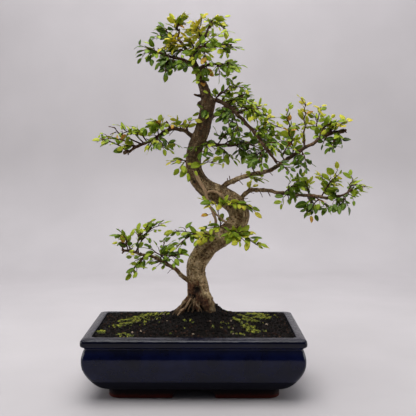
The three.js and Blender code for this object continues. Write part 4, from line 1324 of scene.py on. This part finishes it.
# %% Spurs and aerial roots
STRANDS = [
    [(-3, -4, 268, 1.4), (-1, -8, 262, 2.1), (3, -10, 254, 2), (9.5, -12, 241, 1.8),
     (14, -13, 231, 1.5), (17, -14, 221, 1.2), (21, -14, 213, 1.3), (24, -13, 204, 1.5),
     (23, -11, 191, 1.7), (22, -6, 184, 1.4)],
    [(22, -14, 212, 1.1), (28, -15, 207, 1.1), (34, -15, 202, 1.2), (41, -15, 198, 1.2),
     (49, -13, 197, 1.0)],
    [(13, -11, 233, 1.6), (18, -12, 236, 1.6), (26, -13, 235, 1.7), (33, -14, 230, 1.7),
     (38, -14.5, 223, 1.5), (40, -13, 215, 1.2)],
    [(-3, -9, 109, 1.3), (-6, -12, 106, 1.2), (-9, -13, 100.5, 1.2), (-14, -15, 95, 1.1),
     (-20, -17, 88, 0.8), (-23, -18, 82, 0.6)],
    [(-3, -8, 110, 1.4), (-9, -9, 105, 1.2), (-13, -10, 101, 1), (-17, -12, 96, 0.9),
     (-22, -14, 91, 0.7), (-25, -15, 84, 0.6)],
    [(0, -10, 108, 1.3), (-1, -14, 103, 1.2), (-1, -15, 98, 1), (-3, -16, 93, 0.8),
     (-5, -17, 86, 0.6)],
    [(3, -10, 107, 1.3), (2, -14, 103, 1.1), (4, -16, 97, 1), (3, -17, 91, 0.8), (3, -18, 84, 0.6)],
    [(-5, -5, 109, 1.5), (-11, -7, 104, 1.3), (-15, -8, 100, 1.1), (-20, -9, 96, 0.9),
     (-24, -11, 91, 0.8), (-28, -12, 84, 0.6)],
    [(-2, -9, 111, 1.3), (-6, -11, 106, 1.2), (-10, -12, 99, 1), (-13, -13, 94, 0.8),
     (-15, -14, 86, 0.6)],
    [(1, -11, 108, 1.2), (-3, -13, 103, 1.1), (-6, -14, 98, 1), (-7, -15, 93, 0.8),
     (-10, -16, 86, 0.6)],
    [(6, -11, 105, 1.3), (5, -14, 99, 1.1), (8, -16, 94, 0.9), (8, -17, 86, 0.7)],
    [(-6, -3, 108, 1.2), (-12, -4, 103, 1.1), (-17, -6, 98, 1), (-22, -7, 93, 0.8),
     (-27, -8, 86, 0.6)],
]
# How pale each strand is, and how thick its limb counts for the colour of its bark.
PALENESS = (0.7, 0.5, 0.5, 0.55) + 8 * (0.02,)
STRAND_GIRTH = (3, 3, 3, 2.2) + 8 * (1.7,)
SPUR_SPACING = 9
SPUR_GIRTH = 1.2
# Limbs whose ends were cut again and again, and how far along that was.
CUT_ENDS = [("right_long", 0.97), ("mid_left", 0.97), ("low_left", 0.97), ("lower_right", 0.8)]


def spur_from(points, share, length, thick, draw):
    """A short stub that leaves a limb sideways and forward."""
    *foot, radius = spline(points, share)
    foot = np.array(foot)
    tangent = unit(spline(points, min(share + 0.02, 1))[:3] - spline(points, share - 0.02)[:3])
    aside = unit(np.cross(tangent, draw.normal(size=3)))
    heading = unit(0.5 * tangent + aside + (0, 0, 0.25))
    bend = draw.normal(size=3) * 0.12 * length
    middle = foot + heading * (radius + length) * 0.55 + bend
    tip = foot + heading * (radius + length)
    return [(*foot, thick), (*middle, thick * 0.8), (*tip, thick * 0.65)]


def make_spurs(material):
    draw = np.random.default_rng(SEED + 3)
    routes = list(STRANDS)
    for points in LIMBS.values():
        length = np.linalg.norm(np.diff(np.array(points)[:, :3], axis=0), axis=1).sum()
        for share in np.arange(0.15, 0.88, SPUR_SPACING / length):
            spot = min(share + draw.uniform(-0.02, 0.02), 0.98)
            reach = draw.uniform(2, 5) if draw.random() < 0.75 else draw.uniform(6, 11)
            routes.append(spur_from(points, spot, reach, draw.uniform(0.45, 0.75), draw))
    for limb, share in CUT_ENDS:
        for _ in range(4):
            routes.append(spur_from(LIMBS[limb], share, draw.uniform(2, 5), 1.3, draw))
    shape = Shape()
    spur_count = len(routes) - len(STRANDS)
    paleness = PALENESS + spur_count * (0,)
    girths = STRAND_GIRTH + spur_count * (SPUR_GIRTH,)
    for route, pale, girth in zip(routes, paleness, girths):
        points, faces = tube(route, (6 if pale else 3) * len(route), 6, knots=pale > 0)
        along = np.linspace(0, 30, len(points))
        grain = np.stack([points[:, 0], points[:, 1], along], 1) * MM
        shape.add(points, faces, grain=grain, girth=girth, pale=pale)
    mesh = mesh_of("spurs", shape)
    add_piece("spurs_and_strand", mesh, material)
    print("spurs:", len(routes))


make_spurs(bark)

# %% [markdown]
# ## Leaves
#
# Most leaves here are 7 to 13 mm long. A Chinese elm leaf has a short stalk, a blunt base, saw
# teeth along both edges and a fold along the midrib. The blade is a thin closed skin: five columns
# of points on top, three below, and the teeth are rows that stand out in turn. Light that falls on
# a blade partly passes through it, so the leaves that are lit from behind glow yellow-green.

# %% Material of the leaves

LEAF_AGES = {"dark": 0.18, "mid": 0.42, "young": 0.61, "yellow": 0.8}


def leaf_material(name, roughness, glow):
    # A waxy upper skin over thin green tissue. `age` runs from dark old leaves to yellow ones.
    material, tree = new_material(name, Roughness=roughness, IOR=1.42, Specular_IOR_Level=0.35)
    blade = add_attribute(tree, "blade", "Vector")
    place = add_node(tree, "ShaderNodeSeparateXYZ", {"Vector": blade}).outputs
    # Uneven colour inside one leaf.
    patches = add_noise(tree, add_spot(tree), 3.5, 3)
    shift = add_math(tree, "MULTIPLY_ADD", patches, 0.22, -0.11)
    stops = [
        (0.0, "#2c4409"), (0.22, "#4c6e0c"), (0.42, "#7c9a1a"), (0.62, "#b4c42e"),
        (0.8, "#dcd844"), (0.95, "#e2c640"), (1.0, "#c8803a"),
    ]
    green = add_ramp(tree, add_math(tree, "ADD", add_attribute(tree, "age"), shift), stops)
    # The midrib and the side veins are paler. The side veins slant towards the tip.
    across = add_math(tree, "ABSOLUTE", place["Y"])
    slant = add_math(tree, "MULTIPLY_ADD", across, -0.22, place["X"])
    waves = add_math(tree, "SINE", add_math(tree, "MULTIPLY", slant, 52.0))
    side_veins = add_range(tree, waves, 0.8, 1.0, high=0.4)
    midrib = add_range(tree, across, 0.1, 0.02, high=0.7)
    veins = add_math(tree, "MAXIMUM", side_veins, midrib)
    colour = add_mix(tree, veins, green, "#a3b04a")
    painted(material, colour, add_bump(tree, veins, 0.5, 0.0003, invert=True))
    # A share of the light passes through the blade.
    skin = tree.nodes["Principled BSDF"].outputs["BSDF"]
    through = add_node(tree, "ShaderNodeBsdfTranslucent", {"Color": colour}).outputs["BSDF"]
    both = add_node(tree, "ShaderNodeMixShader", {"Fac": glow, 1: skin, 2: through})
    tree.links.new(both.outputs["Shader"], tree.nodes["Material Output"].inputs["Surface"])
    return material


# %% One leaf
TEETH = 8
COLUMNS = (-1, -0.5, 0, 0.5, 1)
TOP = (0, 1, 2, 3, 4)
BELOW = (0, 5, 6, 7, 4)
STALK_THICK, BLADE_THICK = 0.28, 0.16
QUILT = 0.12  # how far the blade swells between its veins


def leaf_rows():
    """Rows from stalk to tip: place along the blade, half width, and whether it is stalk."""
    rows = [(-0.14, 0.045, True), (0.0, 0.06, True)]
    for k in range(1, 2 * TEETH):
        along = k / (2 * TEETH)
        width = (4 * along * (1 - along)) ** 0.6 * (1 + 0.2 * (0.5 - along))
        tooth = k % 2
        rows.append((along + 0.02 * tooth, width * (1.05 if tooth else 0.9), False))
    rows.append((1.0, 0.02, False))
    return rows


LEAF_ROWS = leaf_rows()


def leaf_faces():
    """Each row has five points on top and three below; the outer two are shared."""
    faces = []
    for row in range(len(LEAF_ROWS) - 1):
        near, far = 8 * row, 8 * (row + 1)
        for a, b in zip(TOP, TOP[1:]):
            faces.append([near + a, far + a, far + b, near + b])
        for a, b in zip(BELOW, BELOW[1:]):
            faces.append([near + b, far + b, far + a, near + a])
    end = (0, 1, 2, 3, 4, 7, 6, 5)
    faces.append(list(end))
    faces.append([8 * (len(LEAF_ROWS) - 1) + i for i in end[:1] + end[:0:-1]])
    return faces


LEAF_FACES = leaf_faces()


def leaf_points(length, width, draw):
    """One leaf along +X with its face up, as points and as places on the blade."""
    fold = draw.uniform(0.05, 0.38)
    droop = draw.uniform(-0.05, 0.3)
    twist = draw.uniform(-0.5, 0.5)
    sway = draw.uniform(-0.12, 0.12)
    cup = draw.uniform(0.0, 0.25)
    points, blade = [], []
    for number, (along, half, is_stalk) in enumerate(LEAF_ROWS):
        x = along * length
        reach = half * width / 2
        thick = STALK_THICK if is_stalk else BLADE_THICK
        bend = -droop * length * along * abs(along)
        turn = twist * max(along, 0)
        for layer in (1, -1):
            for column in COLUMNS if layer > 0 else COLUMNS[1:-1]:
                y = column * reach
                lift = fold * abs(y) - cup * y * y / max(width, 1)
                quilt = 0 if is_stalk else QUILT * (number % 2) * (1 - abs(2 * abs(column) - 1))
                z = lift + quilt + layer * thick * (1 - abs(column))
                points.append((
                    x * (1 - 0.04 * abs(column)),
                    y * math.cos(turn) - z * math.sin(turn) + sway * length * max(along, 0) ** 2,
                    y * math.sin(turn) + z * math.cos(turn) + bend,
                ))
                blade.append((along, column * half, 0))
    return np.array(points), np.array(blade)


# %% [markdown]
# ## Growing the shoots
#
# Elm leaves stand alternately left and right along a twig, all roughly in one plane, and the
# planes turn up to the sky and out to the light. A twig steps a little to and fro from leaf to
# leaf. Longer twigs carry short side twigs with two to five leaves of their own.

# %% Growing the shoots
TRUNK_MIDDLE_X = 12
TWIG_SIDES = 5
STEM_RADIUS, SIDE_TWIG_RADIUS = 1.0, 0.55
TWIG_BEND = 7  # millimetres from one bend of a twig to the next
TWIG_ZIGZAG = 0.8
SIDE_TWIG_SPACING = 10
SIDE_TWIG_REACH = (7, 16)
STEM_FORK = 0.4  # where the side stems leave a stem, as a share of its length
LEAF_OPENING = (0.75, 1.15)  # angle between a twig and its side leaves, in radians
TIP_OPENING = (-0.2, 0.2)
LEAF_SPREAD = (0.5, 0.85, 1.15)  # smallest, usual and largest leaf, as shares of the full size
LEAF_WOBBLE = 0.33
OLDEST, PALEST = 0, 0.86
TURNING = 0.025  # share of the palest leaves that have turned orange
TURNED_AGE = 0.98
BACK_FOLIAGE_Y = 15
SUNNY_Z = 405  # above this the crown gets the most sun, and its leaves are paler
# How much further apart the leaves stand on these limbs.
THINNED = {
    "low_left": 2.0, "upper_right": 1.15, "trunk": 1.35, "right_long": 0.74, "mid_left": 1.3,
}
# Leaf size where it differs: bright outer shoots carry small leaves, the trunk's own large ones.
SIZES = {
    "upper_right": 0.87, "right_long": 0.87, "crown_top": 0.95, "trunk": 1.12, "low_left": 0.95,
    "mid_left": 0.95,
}
# Where the shoots are yellower or greener than their kind.
AGED = {"mid_left": 0.1, "low_left": -0.08}
CROWN_Z = 380  # leaves of the crown lie flatter from here up
# Places that are kept free of leaves: middle and radius.
CLEARINGS = [(30, -14, 206, 12), (33, -12, 186, 9), (0, -14, 170, 10), (4, -14, 245, 9)]
LOWEST, HIGHEST = (np.array(corner) / MM - (POT_X, 0, 0) for corner in cad_box)
# What a twig or a leaf says for the values that only the other one has.
BLANKS = {"age": [[0.3]], "blade": [[0, 0, 0]], "grain": [[0, 0, 0]], "girth": [[0.8]]}


def plane_normal(place, draw):
    """What the leaves of a twig face: up, outwards, and to the front or the back."""
    outward = unit(np.array([place[0] - TRUNK_MIDDLE_X, place[1], 0.001]))
    tilt = 0.35 * (1 - 0.6 * clamp((place[2] - CROWN_Z) / 40))
    facing = np.array([0, tilt if place[1] > BACK_FOLIAGE_Y else -tilt, 0.8])
    return unit(facing + 0.25 * outward + 0.35 * draw.uniform(-1, 1, 3))


def twig_route(foot, end, thick, draw):
    """A twig bows up a little and steps to and fro at each leaf."""
    length = np.linalg.norm(end - foot)
    bends = max(3, int(length / TWIG_BEND))
    sideways = unit(np.cross(end - foot, (0.1, 0.2, 1)))
    points = []
    for i in range(bends + 1):
        share = i / bends
        place = foot + (end - foot) * share + (0, 0, 0.4 * length * share * (1 - share))
        if 0 < i < bends:
            step = TWIG_ZIGZAG if i % 2 else -TWIG_ZIGZAG
            place = place + sideways * step + draw.normal(size=3) * 0.5
        points.append((*place, thick * (1 - 0.55 * share)))
    return points


def in_clearing(place):
    """Whether a leaf here would hide a part of the trunk that the grower keeps in sight."""
    return any(math.dist(place, middle) < radius for *middle, radius in CLEARINGS)


def place_leaf(shape, foot, forward, up, size, age, draw):
    """Adds one leaf, unless it would leave the tree's own space."""
    if in_clearing(foot + forward * LEAF_LENGTH * size / 2):
        return 0
    width = LEAF_WIDTH * size * draw.uniform(0.85, 1.15)
    points, blade = leaf_points(LEAF_LENGTH * size, width, draw)
    across = unit(np.cross(up, forward))
    face = np.cross(forward, across)
    points = points + (0.14 * LEAF_LENGTH * size, 0, 0)
    placed = foot + points @ np.array([forward, across, face])
    if (placed < LOWEST).any() or (placed > HIGHEST).any():
        return 0
    shape.add(placed, LEAF_FACES, age=age, blade=blade)
    return 1


def dress_twig(shape, route, bare, age, spacing, scale, draw):
    """Puts alternate leaves along a twig, and one at its end."""
    points = np.array([spline(route, i / 40) for i in range(41)])[:, :3]
    walked = walked_along(points)
    length = walked[-1]

    def spot(at):
        at = min(max(at, 0), length)
        return np.array([np.interp(at, walked, points[:, k]) for k in range(3)])

    plane = plane_normal(points[20], draw)
    leaves = 0
    at = min(bare, 0.4 * length)
    side = 1 if draw.random() < 0.5 else -1
    while True:
        is_tip = at >= length - 2
        at = min(at, length)
        place = spot(at)
        tangent = unit(spot(at + 2) - spot(at - 2))
        up = unit(plane - tangent * (plane @ tangent) + LEAF_WOBBLE * draw.normal(size=3))
        out = unit(np.cross(up, tangent)) * side
        opening = draw.uniform(*(TIP_OPENING if is_tip else LEAF_OPENING))
        forward = unit(tangent * math.cos(opening) + out * math.sin(opening))
        share = at / length
        size = scale * draw.triangular(*LEAF_SPREAD) * (1.02 - 0.3 * share)
        sun = 0.2 * clamp((place[2] - SUNNY_Z) / 25)
        own_age = age + sun + draw.normal() * 0.11 + 0.2 * (share - 0.5)
        has_turned = draw.random() < TURNING * age
        own_age = TURNED_AGE if has_turned else min(max(own_age, OLDEST), PALEST)
        leaves += place_leaf(shape, place, forward, up, size, own_age, draw)
        if is_tip:
            return leaves
        side = -side
        at += spacing * draw.uniform(0.8, 1.2)


def side_twigs(route, draw):
    """Short twigs that fork from a longer one."""
    start, end = np.array(route[0][:3]), np.array(route[-1][:3])
    length = np.linalg.norm(end - start)
    plane = plane_normal(end, draw)
    found = []
    step = SIDE_TWIG_SPACING / max(length, SIDE_TWIG_SPACING)
    for number, share in enumerate(np.arange(0.3, 0.95, step)):
        foot = spline(route, share + draw.uniform(-0.05, 0.05))[:3]
        tangent = unit(end - start)
        out = unit(np.cross(plane, tangent)) * (1 if number % 2 else -1)
        opening = draw.uniform(0.6, 0.95)
        heading = tangent * math.cos(opening) + out * math.sin(opening)
        heading = unit(heading + 0.2 * draw.normal(size=3))
        reach = draw.uniform(*SIDE_TWIG_REACH) * (1.15 - 0.4 * share)
        found.append(twig_route(foot, foot + heading * reach, SIDE_TWIG_RADIUS, draw))
    return found


def grow_shoot(twigs, leaves, shoot, draw):
    """A stem from the bark to its end, its side stems, their side twigs, and all their leaves."""
    share, tint, ends, limb = shoot
    points = TRUNK if limb == "trunk" else LIMBS[limb]
    *foot, radius = spline(points, share)
    stem, leaf_count = None, 0
    spacing, scale = LEAF_SPACING * THINNED.get(limb, 1), SIZES.get(limb, 1)
    for end in ends:
        start = np.array(foot) if stem is None else spline(stem, STEM_FORK)[:3]
        end = np.array(end, float)
        end = start + (end - start) * max(0.5, 1 - 6 / np.linalg.norm(end - start))
        route = twig_route(start, end, STEM_RADIUS, draw)
        bare = radius + 4 if stem is None else 3
        stem = stem or route
        for path, first in [(route, bare)] + [(side, 3) for side in side_twigs(route, draw)]:
            rings = 3 * len(path)
            tube_points, tube_faces = tube(path, rings, TWIG_SIDES)
            along = np.repeat(np.arange(rings + 2), TWIG_SIDES) * 2.0
            grain = np.stack([tube_points[:, 0], tube_points[:, 1], along], 1) * MM
            twigs.add(tube_points, tube_faces, grain=grain, girth=0.8)
            age = min(LEAF_AGES[tint] + AGED.get(limb, 0), 0.85)
            leaf_count += dress_twig(leaves, path, first, age, spacing, scale, draw)
    return leaf_count


def merged(twigs, leaves):
    """Twigs and leaves as one shape, with every value on every point."""
    whole = Shape()
    for part in (twigs, leaves):
        values = {key: np.concatenate(found) for key, found in part.values.items()}
        for key, blank in BLANKS.items():
            values.setdefault(key, blank)
        whole.add(np.concatenate(part.points), part.faces, **values)
    return whole


def grow_spray(name, shoots, materials, draw):
    twigs, leaves = Shape(), Shape()
    leaf_count = sum(grow_shoot(twigs, leaves, shoot, draw) for shoot in shoots)
    mesh = mesh_of(name, merged(twigs, leaves))
    tint = shoots[0][1]
    skins = [materials[tint], materials["twig"]]
    add_piece(f"{name}_grown", mesh, skins, [name])
    is_twig = [1] * len(twigs.faces) + [0] * len(leaves.faces)
    mesh.polygons.foreach_set("material_index", is_twig)
    return leaf_count


def make_sprays():
    materials = {
        "dark": leaf_material("old elm leaf", 0.38, 0.25),
        "mid": leaf_material("grown elm leaf", 0.42, 0.32),
        "young": leaf_material("young elm leaf", 0.48, 0.4),
        "yellow": leaf_material("yellowing elm leaf", 0.55, 0.4),
        "twig": bark,
    }
    draw = np.random.default_rng(SEED + 2)
    counts, leaf_count = {}, 0
    for limb, sprays in SPRAYS:
        for twigs in sprays:
            counts[limb] = counts.get(limb, 0) + 1
            shoots = [(*twig, limb)[:4] for twig in twigs]
            name = f"spray_{limb}_{counts[limb]}"
            leaf_count += grow_spray(name, shoots, materials, draw)
    print("sprays:", sum(counts.values()), "leaves:", leaf_count)


make_sprays()
